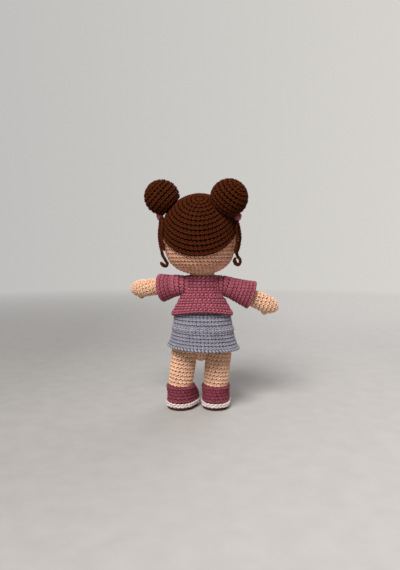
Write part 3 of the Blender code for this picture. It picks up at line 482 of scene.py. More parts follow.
def mesh_object(name, parts, material):
    """One mesh from the laid parts."""
    starts = np.cumsum([0] + [len(part[0]) for part in parts])
    loops = np.concatenate([part[1] + start for part, start in zip(parts, starts)])
    points, _, totals, strands, marks = (np.concatenate(tables) for tables in zip(*parts))
    mesh = bpy.data.meshes.new(name)
    mesh.vertices.add(len(points))
    mesh.vertices.foreach_set("co", (points * MM).astype(np.float32).ravel())
    mesh.loops.add(len(loops))
    mesh.loops.foreach_set("vertex_index", loops.astype(np.int32))
    mesh.polygons.add(len(totals))
    starts = np.concatenate([[0], np.cumsum(totals)[:-1]])
    mesh.polygons.foreach_set("loop_start", starts.astype(np.int32))
    mesh.polygons.foreach_set("loop_total", totals.astype(np.int32))
    mesh.update(calc_edges=True)
    mesh.validate()
    layer = mesh.uv_layers.new(name="strand")
    layer.data.foreach_set("uv", strands.astype(np.float32).ravel())
    colours = mesh.color_attributes.new("marks", "FLOAT_COLOR", "POINT")
    colours.data.foreach_set("color", marks.astype(np.float32).ravel())
    mesh.shade_smooth()
    mesh.materials.append(material)
    return linked(name, mesh)


def plain_marks(number, depth, chance=0.5):
    marks = np.ones((number, 4))
    marks[:, 0], marks[:, 1], marks[:, 2] = depth, chance, 0.0
    return marks


def core(node, inset, depth=0.25):
    """The node's own form a little smaller, as a laid part: the inside of the fabric, behind the stitches, painted
    dark as shade.
    """
    mesh = frame["nodes"][node].data
    spots, index, points = {}, [], []
    for vertex in mesh.vertices:
        key = tuple(round(c / MM * 500) for c in vertex.co)
        if key not in spots:
            spots[key] = len(points)
            points.append(np.array(vertex.co) / MM)
        index.append(spots[key])
    points = np.array(points)
    faces = []
    for polygon in mesh.polygons:
        corners = [index[v] for v in polygon.vertices]
        corners = [c for i, c in enumerate(corners) if c != corners[i - 1]]
        if len(set(corners)) > 2:
            faces.append(corners)
    normals = np.zeros_like(points)
    for face in faces:
        ring = points[face]
        for i, vertex in enumerate(face):
            before, after = ring[i - 1] - ring[i], ring[(i + 1) % len(face)] - ring[i]
            size = np.linalg.norm(before) * np.linalg.norm(after)
            if size < 1e-9:
                continue
            angle = math.acos(max(-1.0, min(1.0, float(before @ after) / size)))
            square = np.cross(after, before)
            square = square / max(np.linalg.norm(square), 1e-9)
            normals[vertex] += square * angle
    normals /= np.maximum(np.linalg.norm(normals, axis=1, keepdims=True), 1e-9)
    points = points - normals * inset
    loops = np.array([v for face in faces for v in face])
    totals = np.array([len(face) for face in faces])
    strand = np.stack([points[loops][:, 0] + points[loops][:, 1], points[loops][:, 2] / 5], axis=1)
    return points, loops, totals, strand, plain_marks(len(points), depth)


def strand(line, radius, sides=8, closed=False, chance=0.5):
    """A length of yarn along a line of places."""
    line = np.array(line, float)
    number = len(line)
    if closed:
        runs = np.roll(line, -1, axis=0) - np.roll(line, 1, axis=0)
    else:
        runs = np.gradient(line, axis=0)
    across, up = carried(runs, (0.31, 0.52, 0.79))
    angles = FULL_TURN * np.arange(sides) / sides
    size = np.broadcast_to(np.asarray(radius, float), (number,))
    ring = (across[:, None] * np.cos(angles)[None, :, None] + up[:, None] * np.sin(angles)[None, :, None])
    points = (line[:, None] + ring * size[:, None, None]).reshape(-1, 3)
    far = np.concatenate([[0], np.cumsum(np.linalg.norm(np.diff(line, axis=0), axis=1))])
    loops, totals, uv = [], [], []
    for r in range(number if closed else number - 1):
        a, b = r * sides, ((r + 1) % number) * sides
        for s in range(sides):
            n = (s + 1) % sides
            loops += [a + s, a + n, b + n, b + s]
            totals.append(4)
            u0, u1 = far[r], far[r + 1] if r + 1 < number else far[-1] + 1
            uv += [(u0, s / sides), (u0, (s + 1) / sides), (u1, (s + 1) / sides), (u1, s / sides)]
    if not closed:
        end = (number - 1) * sides
        for cap in (range(sides)[::-1], range(end, end + sides)):
            loops += cap
            totals.append(sides)
            uv += [(0, s / sides) for s in range(sides)]
    return points, np.array(loops), np.array(totals), np.array(uv), plain_marks(len(points), 0.75, chance)


def wall(surface, low, high, depth, first=0.0, last=None, rows=None):
    """A closed band of fabric between two heights on a surface; depth sets how dark it is painted, as shade."""
    last = surface.length if last is None else last
    turns = FULL_TURN * np.arange(surface.columns) / surface.columns
    far = np.linspace(first, last, (rows or surface.rows) + 1)
    outer, inner = [[surface.place(np.full(surface.columns, a), turns, np.full(surface.columns, h)) for a in far]
                    for h in (high, low)]
    rings = outer + inner[::-1]
    points = np.concatenate(rings)
    loops, number, columns = [], len(rings), surface.columns
    for r in range(number):
        for c in range(columns):
            n, s = (c + 1) % columns, (r + 1) % number
            face = [r * columns + c, r * columns + n, s * columns + n, s * columns + c]
            loops += face if surface.hand > 0 else face[::-1]
    totals = np.full(number * columns, 4)
    loops = np.array(loops)
    return points, loops, totals, points[loops][:, :2], plain_marks(len(points), depth)


SC = single(3.5, 3.5, foot=-0.25, sink=-0.35)
HAIR_SC = single(3.6, 4.0, plump=1.1, foot=0.5, bar=0.74)
SLEEVE_SC = single(3.4, 3.3)
FINE = single(3.0, 2.8, plump=0.82)
SKIRT_SC = single(3.5, 3.3, plump=0.95)
HDC = half_double(3.7, 5.5)
EDGE = slanted(3.3, 2.6)
RIDGE = single(3.5, 3.6, plump=1.05, rise=0.35)
WELT = single(3.3, 3.9, plump=0.95, rise=0.2)
CHAIN = single(3.4, 2.3, plump=0.72)

# How far the inside of the fabric lies within its node, and how dark it is painted: painted shade behind the
# stitches
CORE, PAINTED_SHADE = 0.65, 0.05
CLOTH_CORE = 0.4

BODY = (0.6, -1.4)
HEAD = Vector((2.6, -1.4, 159.3))


# ---------------- pieces


def piece(name, parts, material, body, nodes=()):
    """A mesh that rides on a body and stands for the nodes that it replaces."""
    made = mesh_object(name, parts, material)
    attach(made, body)
    if nodes:
        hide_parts(*nodes)
    return made


def padded_piece(name, parts, material, body, nodes):
    made = piece(name, parts, material, body, nodes)


def cloth(name, material, body, stitches, inside=()):
    """A garment: its cloth, which is a sheet, the stitches on it and the pieces joined to it."""
    base = piece(name + "_cloth", [core(name, CLOTH_CORE), *inside], material, body, [name])
    work = piece(name + "_stitches", stitches, material, body)


# ---------------- head and hair

CROWN_LEAN = math.radians(33.5)
cap_axis, cap_first, cap_second = frame_of((0, math.sin(CROWN_LEAN), math.cos(CROWN_LEAN)))
CHEEKS = [HEAD + Vector((side * 17.5, -26.5, -10.5)) for side in (1, -1)]
BLUSH_REACH, BLUSH_STRENGTH = 7.0, 0.55
CAP_OVERLAP = 3.0


def cheek(place):
    """How much blush a place on the face has."""
    return max(0.0, 1.0 - min((place - c).length for c in CHEEKS) / BLUSH_REACH) * BLUSH_STRENGTH


def cap_slope(turn):
    """Degrees from the crown to the cap's edge."""
    return 83.5 + 6.8 * math.sin(turn) ** 2 + 3.7 * math.cos(turn)


def bare(place):
    """Head skin that the cap leaves open."""
    way = (place - HEAD).normalized()
    turn = math.atan2(way.dot(cap_second), way.dot(cap_first))
    return math.degrees(way.angle(cap_axis)) > cap_slope(turn) - CAP_OVERLAP


def cap_aim(share, turn):
    angle = math.radians(cap_slope(turn)) * share
    level = cap_first * math.cos(turn) + cap_second * math.sin(turn)
    return HEAD, cap_axis * math.cos(angle) + level * math.sin(angle)


HEAD_OPENING = 165
head_surface = survey("head_skin", pole_aim(HEAD, (0, 0, 1), [(0, a) for a in range(0, HEAD_OPENING, 4)]))
padded_piece(
    "head", [core("head_skin", CORE, PAINTED_SHADE),
             lay(head_surface, SC, keep=bare, up=-1, seed=11, blush=cheek, lift=-0.25)],
    SHADED_FACE, "head", ["head_skin", "head_stuffing"])

cap_surface = survey("hair_cap", cap_aim, harmonics=6)
padded_piece(
    "hair_cap_yarn", [core("hair_cap", 0.55, PAINTED_SHADE), lay(cap_surface, HAIR_SC, up=-1, seed=12, lift=-0.2)],
    HAIR, "head", ["hair_cap"])

# foot: degrees from the bun's pole to its edge. tie_height and tie_radius: the groove under it, from the head's
# middle
BUNS = {
    "left": {
        "centre": Vector((36.24, 0.54, 190.17)), "out": Vector((0.73605, 0.04244, 0.67559)), "foot": 142,
        "tie_height": 33.75, "tie_radius": 11.95, "knot": Vector((38.1, 0.62, 173.0))},
    "right": {
        "centre": Vector((-22.08, 18.38, 188.28)), "out": Vector((-0.57539, 0.46098, 0.67559)), "foot": 130,
        "tie_height": 32.82, "tie_radius": 14.30, "knot": Vector((-30.3, 12.6, 172.3))},
}
TIE_STRAND, TIE_SINK, TIE_INSET, TIE_SPREAD, TIE_WAVE = 0.5, 1.6, 3.4, 0.3, 16
TIE_ROUNDS = ((-50, 0.3), (40, 1.7), (130, 2.9))
KNOT_STRAND = 1.05
KNOT_LOOPS = ((0.0, 1.5, 3.3), (0.55, 1.3, 3.1), (-0.5, 1.35, 3.1), (1.3, 1.15, 2.8))


def tie_round(bun, lean, wave, chance):
    """One round of yarn, half sunk in the groove under the bun."""
    out = bun["out"]
    _, first, second = frame_of(out)
    line = []
    for i in range(48):
        turn = FULL_TURN * i / 48
        angle = math.radians(lean + TIE_WAVE * math.sin(2 * turn + wave))
        ring = bun["tie_radius"] - TIE_INSET + TIE_SPREAD * math.cos(angle)
        level = first * math.cos(turn) + second * math.sin(turn)
        height = bun["tie_height"] - TIE_SINK + TIE_SPREAD * math.sin(angle)
        line.append(HEAD + out * height + level * ring)
    return strand(line, TIE_STRAND, closed=True, chance=chance)


def knot_loop(bun, tilt, bow, wide, chance):
    """One loop of the knot, standing off the head's side."""
    out, knot = bun["out"], bun["knot"]
    level = (knot - HEAD - out * (knot - HEAD).dot(out)).normalized()
    way = out.cross(level) * math.cos(tilt) + out * math.sin(tilt)
    turns = [FULL_TURN * i / 24 for i in range(24)]
    line = [knot + way * wide * math.cos(turn) + level * bow * 1.5 * math.sin(turn) + out.cross(way) * 0.1
            for turn in turns]
    return strand(line, KNOT_STRAND, closed=True, chance=chance)


for side, bun in BUNS.items():
    node = "bun_" + side
    surface = survey(node, pole_aim(bun["centre"], bun["out"], [(0, a) for a in range(0, bun["foot"], 4)]))
    padded_piece(
        node + "_yarn", [core(node, CORE, PAINTED_SHADE), lay(surface, HAIR_SC, up=-1, seed=13, lift=-0.2)],
        HAIR, "head", [node, "bun_stuffing_" + side])
    loops = [tie_round(bun, *facts, 0.3 + 0.1 * k) for k, facts in enumerate(TIE_ROUNDS)]
    loops += [knot_loop(bun, *facts, 0.35 + 0.1 * k) for k, facts in enumerate(KNOT_LOOPS)]
    piece("bun_tie_" + side + "_yarn", loops, RASPBERRY, "head", ["bun_tie_" + side])


def middle_line(node):
    """The middle line of a rope-like node, read ring by ring from its upper end."""
    work = bmesh.new()
    work.from_mesh(frame["nodes"][node].data)
    bmesh.ops.remove_doubles(work, verts=work.verts, dist=0.01 * MM)
    work.verts.index_update()
    sharp = {e for e in work.edges if e.calc_face_angle(0.0) > math.radians(60)}
    top = max((v for e in sharp for v in e.verts), key=lambda v: v.co.z)
    ring, waiting = {top}, [top]
    while waiting:
        for edge in waiting.pop().link_edges:
            if edge in sharp:
                waiting += [v for v in edge.verts if v not in ring]
                ring |= set(edge.verts)
    seen, line = set(ring), []
    while ring:
        places = [v.co for v in sorted(ring, key=lambda v: v.index)]
        line.append(sum(places, Vector()) / len(places) / MM)
        ring = {v for r in ring for e in r.link_edges for v in e.verts} - seen
        seen |= ring
    work.free()
    return line


LOCK_RADIUS, LOCK_CORE, COIL_EXTRA = 1.3, 1.2, 0.35
COIL_START, COIL_GROWTH = 0.72, 0.12
for side, bun in BUNS.items():
    inside_knot = bun["knot"] + bun["out"] * -0.5
    for which in ("outer", "inner"):
        node = "lock_" + side + "_" + which
        line = middle_line(node)
        line = [inside_knot.lerp(line[0], share) for share in (0.0, 0.35, 0.7)] + line
        coil = COIL_EXTRA * np.clip((np.linspace(0, 1, len(line)) - COIL_START) / COIL_GROWTH, 0, 1)
        coil[-2:] -= 0.3, 0.9
        surface = tube(line, LOCK_RADIUS + coil)
        parts = [strand(line, LOCK_CORE + coil), lay(surface, CHAIN, least=2, lean=0.25, seed=14, lift=-0.15)]
        piece(node + "_yarn", parts, HAIR, side + "_locks", [node])


# ---------------- face

EYE_TURN, EYE_DROP = math.radians(24), math.radians(7)
EYE_RADIUS, EYE_EDGE, EYE_BULGE = 4.1, 0.6, 2.7
STEM_RADIUS, STEM_LENGTH, NO_RADIUS = 1.2, 7.0, 0.001
EYE_SIDES = 40
for side, sign in (("left", 1), ("right", -1)):
    out = Vector((sign * math.sin(EYE_TURN), -math.cos(EYE_TURN), 0)) * math.cos(EYE_DROP)
    out = (out + Vector((0, 0, -math.sin(EYE_DROP)))).normalized()
    axis, first, second = frame_of(out)
    slopes = [math.radians(a) for a in range(0, 90, 6)]
    outline = [(max(EYE_RADIUS * math.sin(a), NO_RADIUS), EYE_EDGE + EYE_BULGE * math.cos(a)) for a in slopes]
    outline += [(EYE_RADIUS, EYE_EDGE), (4.16, 0.35), (EYE_RADIUS, 0.05), (4.0, 0.0), (STEM_RADIUS, 0.0),
                (STEM_RADIUS, -STEM_LENGTH), (NO_RADIUS, -STEM_LENGTH)]
    dome = max((v.co / MM - HEAD).dot(out) for v in frame["nodes"]["eye_" + side].data.vertices)
    seat = HEAD + out * (dome - EYE_EDGE - EYE_BULGE)
    turns = [FULL_TURN * s / EYE_SIDES for s in range(EYE_SIDES)]
    points = [seat + axis * height + (first * math.cos(turn) + second * math.sin(turn)) * radius
              for radius, height in outline for turn in turns]
    loops = []
    for r in range(len(outline) - 1):
        for s in range(EYE_SIDES):
            n = (s + 1) % EYE_SIDES
            here, there = r * EYE_SIDES, (r + 1) * EYE_SIDES
            loops += [here + s, there + s, there + n, here + n]
    button = (np.array(points), np.array(loops), np.full(len(loops) // 4, 4), np.zeros((len(loops), 2)),
              plain_marks(len(points), 1.0))
    piece("eye_" + side + "_button", [button], EYE_BLACK, "head", ["eye_" + side])
    washer = frame["nodes"]["eye_washer_" + side].data
    washer.materials.clear()
    washer.materials.append(WASHER)

face_tree = tree_of("head_skin")


def on_face(across, down, proud):
    """A place on the face, from its angles across and down in degrees. The ray keeps a hair's breadth off the
    mesh's seam."""
    across, down = math.radians(across + 0.03), math.radians(down + 0.03)
    out = Vector((math.sin(across) * math.cos(down), -math.cos(across) * math.cos(down), -math.sin(down)))
    return face_tree.ray_cast(HEAD + out * 60.0, -out, 60.0)[0] + out * proud


NOSE_DOWN, NOSE_HEIGHT, NOSE_STRAND = 15.0, 1.6, 0.62
NOSE_LOOPS = ((4.0, 0.0), (3.6, 0.8), (3.2, -0.7), (2.6, 0.1))
nose = []
for k, (wide, drop) in enumerate(NOSE_LOOPS):
    turns = [FULL_TURN * i / 24 for i in range(24)]
    line = [on_face(wide * math.cos(turn), NOSE_DOWN + drop + NOSE_HEIGHT * math.sin(turn), 0.9 + 0.35 * k)
            for turn in turns]
    nose.append(strand(line, NOSE_STRAND, closed=True, chance=0.6 + 0.1 * k))
MOUTH_HALF, MOUTH_DOWN, SMILE, MOUTH_STRAND = 9.0, 27.5, 3.2, 0.42
smile = [on_face(MOUTH_HALF * s, MOUTH_DOWN - SMILE * s * s, 0.75 - 1.6 * abs(s) ** 6)
         for s in np.linspace(-1, 1, 25)]
mouth = [strand(smile, MOUTH_STRAND, chance=0.4)]
piece("nose_stitch", nose, SKIN, "head")
piece("mouth_stitch", mouth, RASPBERRY, "head")


# ---------------- torso

neck_surface = survey("torso_skin", level_aim([(*BODY, z) for z in (117.5, 127.3)]), harmonics=4)
low_aim = pole_aim((*BODY, 72.0), (0, 0, -1), [(0, a) for a in range(25, 91, 5)])
low_surface = survey("torso_skin", low_aim, harmonics=6)


def round_seat(middle, size, rows=40, columns=48):
    """The lower half of an egg shape, which fills the gap between the legs."""
    outs = np.zeros((rows + 1, columns, 3))
    for i in range(rows + 1):
        for j in range(columns):
            slope, turn = math.radians(4 + 86 * i / rows), FULL_TURN * j / columns
            outs[i, j] = math.sin(slope) * math.cos(turn), math.sin(slope) * math.sin(turn), -math.cos(slope)
    return Surface(np.array(middle) + outs * np.array(size), outs)


SEAT_MIDDLE, SEAT_SIZE = (1.7, -0.6, 54.0), (8.2, 10.5, 10.4)
seat_surface = round_seat(SEAT_MIDDLE, SEAT_SIZE)
padded_piece(
    "torso", [core("torso_skin", 0.45), lay(neck_surface, FINE, seed=21, rows=3),
              lay(low_surface, SC, seed=22, keep=lambda p: p.z < 66), lay(seat_surface, SC, seed=23, lift=-0.3),
              wall(seat_surface, -1.3, -0.7, PAINTED_SHADE)],
    SKIN, "torso", ["torso_skin", "torso_stuffing"])


# ---------------- sweater and skirt

SWEATER_TOP, SWEATER_HEIGHT, SWEATER_FLATNESS = 121.1, 36.2, 0.91
NECKLINE, CHEST, SWEATER_HEM = 14.692, 16.6, 28.0
# share of the way down, and how much of the flare is reached there
FLARE = ((0.36, 0.0), (0.46, 0.16), (0.64, 0.44), (0.82, 0.74), (0.94, 0.97))
# the hem rises over the seat
HEM_RISE = 4.8


def near(node, within):
    tree = tree_of(node)
    return lambda place: tree.find_nearest(place)[3] < within


def sweater_grid(rows=110, columns=48):
    flare = [(down, CHEST + (SWEATER_HEM - CHEST) * share) for down, share in FLARE]
    widths = [(0.0, NECKLINE), *flare, (1.0, SWEATER_HEM)]
    grid, outs = np.zeros((2, rows + 1, columns, 3))
    for i in range(rows + 1):
        down = i / rows
        wide = np.interp(down, *zip(*widths))
        for j in range(columns):
            turn = FULL_TURN * j / columns
            rise = HEM_RISE * max(0.0, math.sin(turn)) ** 2 * down ** 2
            outs[i, j] = math.cos(turn), math.sin(turn), 0
            grid[i, j] = (BODY[0] + wide * math.cos(turn), BODY[1] + SWEATER_FLATNESS * wide * math.sin(turn),
                          SWEATER_TOP - SWEATER_HEIGHT * down + rise)
    return Surface(grid, outs)


sweater_surface = sweater_grid()
sweater_stitches = lay(sweater_surface, HDC, seed=31, up=-1, keep=near("sweater", 0.75), rows=7,
                       last=sweater_surface.length - 0.4, lift=-0.3)


def shoulder_surface(sleeve, rings, reach):
    """From inside the sweater's armhole out over the top of the sleeve. Each ring gives its place in x and z,
    half its depth and half its height."""
    turns = FULL_TURN * np.arange(sleeve.columns) / sleeve.columns
    flat = np.zeros(sleeve.columns)
    last = sleeve.place(flat + sleeve.length - reach, turns, flat + 0.1)
    nearly = sleeve.place(flat + sleeve.length - reach + 3.0, turns, flat + 0.5)
    middle = last.mean(axis=0)
    angles = np.arctan2(last[:, 2] - middle[2], last[:, 1] - middle[1])
    stops = [np.stack([flat + x, BODY[1] + deep * np.cos(angles), z + high * np.sin(angles)], axis=1)
             for x, z, deep, high in rings]
    stops = np.array(stops + [nearly, last])
    spaced = np.array([0.0, 0.4, 0.8, 1.0])
    far = np.linspace(0, 1, 25)
    grid = np.stack([[np.polyval(np.polyfit(spaced, stops[:, j, k], 3), far) for k in range(3)]
                     for j in range(sleeve.columns)], axis=0).transpose(2, 0, 1)
    outs = grid - grid.mean(axis=1, keepdims=True)
    return Surface(grid, unit(outs))


SKIRT_TOP, SKIRT_HEIGHT, SKIRT_LEAN, SKIRT_DROP = 94.5, 38.4, 1.0, 1.6 / 32.9
RIDGE_AT, RIDGE_HEIGHT, HEM_EDGE = 0.50, 3.6, 2.6


def skirt_aim(down, turn):
    """The skirt hangs a little to one side and is longer there."""
    out = Vector((math.cos(turn), math.sin(turn), SKIRT_DROP * down * math.cos(turn))).normalized()
    return Vector((BODY[0] - SKIRT_LEAN * down, BODY[1], SKIRT_TOP - SKIRT_HEIGHT * down)), out


skirt_surface = survey("skirt", skirt_aim, harmonics=4)
length = skirt_surface.length
ridge = length * RIDGE_AT
cloth("skirt", GREY_BLUE, "torso", [
    lay(skirt_surface, SKIRT_SC, seed=32, last=length * 0.52, up=-1, lift=-0.2),
    lay(skirt_surface, RIDGE, seed=34, first=ridge, last=ridge + RIDGE_HEIGHT, rows=1, lift=0.1),
    lay(skirt_surface, SKIRT_SC, seed=35, first=ridge + 2.6, last=length - HEM_EDGE, up=-1, lift=-0.1),
    lay(skirt_surface, EDGE, seed=33, first=length - 2.9, last=length + 0.1, rows=1, lift=-0.4),
])


# ---------------- arms

# arm and sleeve: degrees forwards and down. bridge: the first two rings of shoulder_surface
ARMS = {
    "left": {
        "side": 1, "arm": (27.5, 6.5), "sleeve": (18.5, 10.0), "sleeve_length": 21.8,
        "shoulder": Vector((17.531, -1.4, 112.8)), "bridge": ((10.5, 111.8, 8.6, 9.0), (17.0, 111.7, 9.3, 9.1))},
    "right": {
        "side": -1, "arm": (3.0, 23.5), "sleeve": (3.0, 19.5), "sleeve_length": 29.7,
        "shoulder": Vector((-16.331, -1.4, 112.8)), "bridge": ((-10.5, 111.8, 8.6, 9.0), (-17.0, 111.4, 9.3, 9.3))},
}
HAND_MIDDLE = 44
ARM_STATIONS = [(HAND_MIDDLE, a) for a in range(0, 81, 20)] + [(42, 90), (35, 90), (28, 90), (20, 90), (14, 90)]
ARM_LENGTH, ARM_RADIUS, THUMB_ALONG, THUMB_OUT, THUMB_REACH = 56.5, 7.9, 0.82, 0.80, 3.0
BRIDGE_REACH = 8.0


def arm_way(side, forward, down):
    forward, down = math.radians(forward), math.radians(down)
    level = Vector((side * math.cos(forward), -math.sin(forward), 0))
    return level * math.cos(down) + Vector((0, 0, -math.sin(down)))


def arm(name, facts):
    """An arm with its thumb and sleeve. Returns the yarn that joins the sleeve to the sweater."""
    side, shoulder, body = facts["side"], facts["shoulder"], name + "_arm"
    way = arm_way(side, *facts["arm"])
    surface = survey(body + "_skin", pole_aim(shoulder, way, ARM_STATIONS))
    thumb_way = way.cross(Vector((0, -side, 0))).normalized()
    thumb = shoulder + way * ARM_LENGTH * THUMB_ALONG + thumb_way * ARM_RADIUS * THUMB_OUT
    thumb_surface = survey(body + "_skin", pole_aim(thumb, thumb_way, [(0, a) for a in range(0, 81, 8)]))
    padded_piece(
        body, [core(body + "_skin", CORE, PAINTED_SHADE),
               lay(surface, SC, seed=41, keep=lambda p: (p - thumb).length > THUMB_REACH, lift=-0.25),
               lay(thumb_surface, FINE, seed=42, least=5)],
        SKIN, body, [body + "_skin", body + "_stuffing"])
    sleeve_length = facts["sleeve_length"]
    sleeve_aim = pole_aim(shoulder, arm_way(side, *facts["sleeve"]), [(sleeve_length - 0.1, 90), (1.0, 90)])
    surface = survey(name + "_sleeve", sleeve_aim)
    cloth(name + "_sleeve", SHADED_SLEEVE_RASPBERRY, body,
          [lay(surface, SLEEVE_SC, seed=43, lift=-0.3)])
    bridge = shoulder_surface(surface, facts["bridge"], BRIDGE_REACH)
    parts = [wall(bridge, -0.9, -0.4, PAINTED_SHADE), lay(bridge, SLEEVE_SC, seed=44, lift=-0.3)]
    joint = mesh_object(name + "_shoulder_yarn", parts, RASPBERRY)
    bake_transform(joint)
    return joint


yoke = [arm(name, facts) for name, facts in ARMS.items()]
# behind the armholes, where a raised arm would open a gap: a band painted dark as shade
lining = wall(sweater_surface, -2.4, -1.8, 0.3, first=sweater_surface.length * 0.41,
              last=sweater_surface.length * 0.60, rows=8)
cloth("sweater", RASPBERRY, "torso",
      [sweater_stitches], inside=[lining])


# ---------------- legs and shoes

ANKLE_HEIGHT, HIP_HEIGHT, LEG_Y = 20.9, 57.0, 0.1
LEGS = {
    "left": {"foot_x": 20.4, "hip_x": 16.1, "toe_turn": -25.0},
    "right": {"foot_x": -11.7, "hip_x": -14.9, "toe_turn": -4.0},
}
# how far towards the toe, and the height
UPPER_SPINE = ((5.5, 7.2), (5.0, 10.5), (4.2, 14), (2.4, 17.5), (0.8, 20.2), (0.4, 22.4))
WELT_SPINE = ((5.5, 2.4), (5.5, 6.8))
SOLE_MIDDLE = 5.5
# rounds of yarn that close the shoe's mouth on the leg: down from the edge, inwards, thickness
MOUTH_ROUNDS = ((0.9, 1.1, 0.85), (2.1, 1.9, 0.9))


def leg(name, foot_x, hip_x, toe_turn):
    """A leg with its shoe."""
    ankle, hip = Vector((foot_x, LEG_Y, ANKLE_HEIGHT)), Vector((hip_x, LEG_Y, HIP_HEIGHT))
    body, shoe = name + "_leg", name + "_shoe"
    far = (hip - ankle).length
    leg_aim = pole_aim(ankle, hip - ankle, [(0.3, 90), (far / 2, 90), (far, 90), (far, 65), (far, 40)])
    surface = survey(body + "_skin", leg_aim)
    padded_piece(
        body, [core(body + "_skin", CORE, PAINTED_SHADE), lay(surface, SC, seed=51, lift=-0.1)],
        SKIN, body, [body + "_skin", body + "_stuffing"])

    toe = Matrix.Rotation(math.radians(toe_turn), 3, "Z") @ Vector((0, -1, 0))
    foot = Vector((foot_x, LEG_Y, 0))

    def along(stations):
        return level_aim([tuple(foot + toe * reach + Vector((0, 0, z))) for reach, z in stations])

    upper = survey(shoe + "_upper", along(UPPER_SPINE), harmonics=8)
    turns = FULL_TURN * np.arange(60) / 60
    mouth = [strand(upper.place(np.full(60, upper.length - down), turns, np.full(60, -inward)), thick,
                    closed=True, chance=0.3) for down, inward, thick in MOUTH_ROUNDS]
    padded_piece(
        shoe, [core(shoe + "_upper", 0.5, PAINTED_SHADE),
               lay(upper, SC, seed=52, last=upper.length - 0.2, lift=-0.15), *mouth],
        SHOE_RASPBERRY, body, [shoe + "_upper", shoe + "_stuffing"])
    welt = survey(shoe + "_welt", along(WELT_SPINE), harmonics=8, steps=30)
    padded_piece(
        name + "_welt", [core(shoe + "_welt", 0.35), lay(welt, WELT, rows=1, seed=53),
                         lay(welt, EDGE, rows=1, seed=55, first=2.6, last=4.6, lift=-0.3)],
        WHITE, body, [shoe + "_welt"])
    sole_aim = pole_aim(foot + toe * SOLE_MIDDLE + Vector((0, 0, 1.5)), (0, 0, -1),
                        [(0, a) for a in range(0, 91, 3)] + [(-0.3, 90)])
    sole = survey(shoe + "_outsole", sole_aim, harmonics=8)
    padded_piece(
        name + "_sole", [core(shoe + "_outsole", 0.5), lay(sole, SC, seed=54, lift=-1.05)],
        SHOE_RASPBERRY, body, [shoe + "_outsole"])


for name, facts in LEGS.items():
    leg(name, **facts)


# ---------------- floor, light and camera

PAPER_DARK, PAPER_LIGHT = (0.425, 0.411, 0.402, 1), (0.455, 0.44, 0.43, 1)
FLOOR_RADIUS, FLOOR_SIDES = 3.0, 96
FADE_START, FADE_END = 0.35, 1.3
# painted light: the backdrop is darker on the picture's left and lighter on its right
BACKDROP_SHADED_LEFT, BACKDROP_LIT_RIGHT = (0.52, 0.51, 0.50, 1), (0.68, 0.66, 0.62, 1)


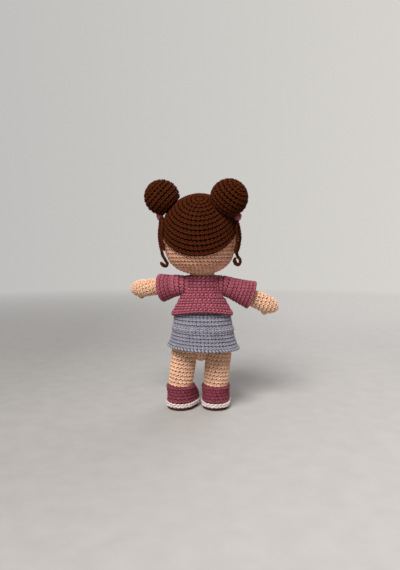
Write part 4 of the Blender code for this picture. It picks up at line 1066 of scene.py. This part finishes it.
def plain_stage():
    """A round sheet of pale paper, painted darker on the picture's left and lighter on its right as light would
    fall, that fades into the backdrop.
    """
    mesh = bpy.data.meshes.new("floor")
    turns = [FULL_TURN * i / FLOOR_SIDES for i in range(FLOOR_SIDES)]
    points = [(FLOOR_RADIUS * math.cos(turn), FLOOR_RADIUS * math.sin(turn), 0) for turn in turns]
    mesh.from_pydata(points, [], [tuple(range(FLOOR_SIDES))])
    n = Nodes(bpy.data.materials.new("floor_paper"))
    place = n.add("TexCoord").outputs["Object"]
    grain = n.add("TexNoise", {"Vector": place, "Scale": 60.0, "Detail": 3.0})
    tone = n.mix(n.spread(grain.outputs["Fac"], 0.3, 0.7), PAPER_DARK, PAPER_LIGHT)
    # painted light: the paper darkens towards the picture's left and brightens towards its right
    across = n.add("SeparateXYZ", {"Vector": place}).outputs[0]
    tone = n.mix(1.0, tone, n.spread(across, 0.20, -0.20, 0.77, 1.15), "MULTIPLY")
    paper = n.add("BsdfDiffuse", {"Color": tone})
    clear = n.add("BsdfTransparent")
    far = n.add("VectorMath", {0: place}, operation="LENGTH").outputs["Value"]
    fade = n.spread(far, FADE_START, FADE_END)
    edge = n.add("MixShader", {0: fade, 1: paper.outputs[0], 2: clear.outputs[0]})
    n.add("OutputMaterial", {"Surface": edge.outputs[0]})
    mesh.materials.append(n.owner)
    linked("floor", mesh)


def world():
    """Soft light from all round. The camera sees a backdrop instead, painted darker on the picture's
    left and lighter on its right, as light would fall.
    """
    studio = bpy.data.worlds.new("studio")
    bpy.context.scene.world = studio
    n = Nodes(studio)
    path = n.add("LightPath").outputs
    seen = n.math("MAXIMUM", path["Is Camera Ray"], path["Is Glossy Ray"])
    seen = n.math("MAXIMUM", seen, path["Is Transmission Ray"])
    light = n.add("Background", {"Color": (1.0, 0.985, 0.965, 1), "Strength": 0.30})
    across = n.add("SeparateXYZ", {0: n.add("TexCoord").outputs["Generated"]}).outputs[0]
    tone = n.add("ValToRGB", {0: n.spread(across, 0.4, -0.4)})
    tone.color_ramp.elements[0].color = BACKDROP_SHADED_LEFT
    tone.color_ramp.elements[1].color = BACKDROP_LIT_RIGHT
    shown = n.add("Background", {"Color": tone.outputs[0], "Strength": 1.0})
    mix = n.add("MixShader", {0: seen, 1: light.outputs[0], 2: shown.outputs[0]})
    n.add("OutputWorld", {0: mix.outputs[0]})


def turned_to(made, place, aim):
    made.location = place
    made.rotation_mode = "QUATERNION"
    made.rotation_quaternion = (Vector(aim) - Vector(place)).to_track_quat("-Z", "Y")


def lamp(name, place, aim, size, power, colour):
    data = bpy.data.lights.new(name, "AREA")
    data.shape, data.size, data.energy, data.color = "DISK", size, power, colour
    turned_to(linked(name, data), place, aim)


plain_stage()
world()
lamp("key", (0.25, 0.72, 1.0), (0, 0, 0.10), 0.55, 17.0, (1.0, 0.97, 0.93))
lamp("fill_front", (-0.5, -0.8, 0.7), (0, 0, 0.1), 0.9, 5.0, (0.95, 0.97, 1.0))

camera = bpy.data.cameras.new("photo_camera")
camera.lens, camera.sensor_width = 33.66, 36.0
camera.clip_start, camera.clip_end = 0.01, 50
holder = linked("photo_camera", camera)
turned_to(holder, Vector((2.6, 477.1, 149.9)) * MM, Vector((2.6, -1.4, 112.2)) * MM)
bpy.context.scene.camera = holder
bpy.context.scene.view_settings.view_transform = "Standard"
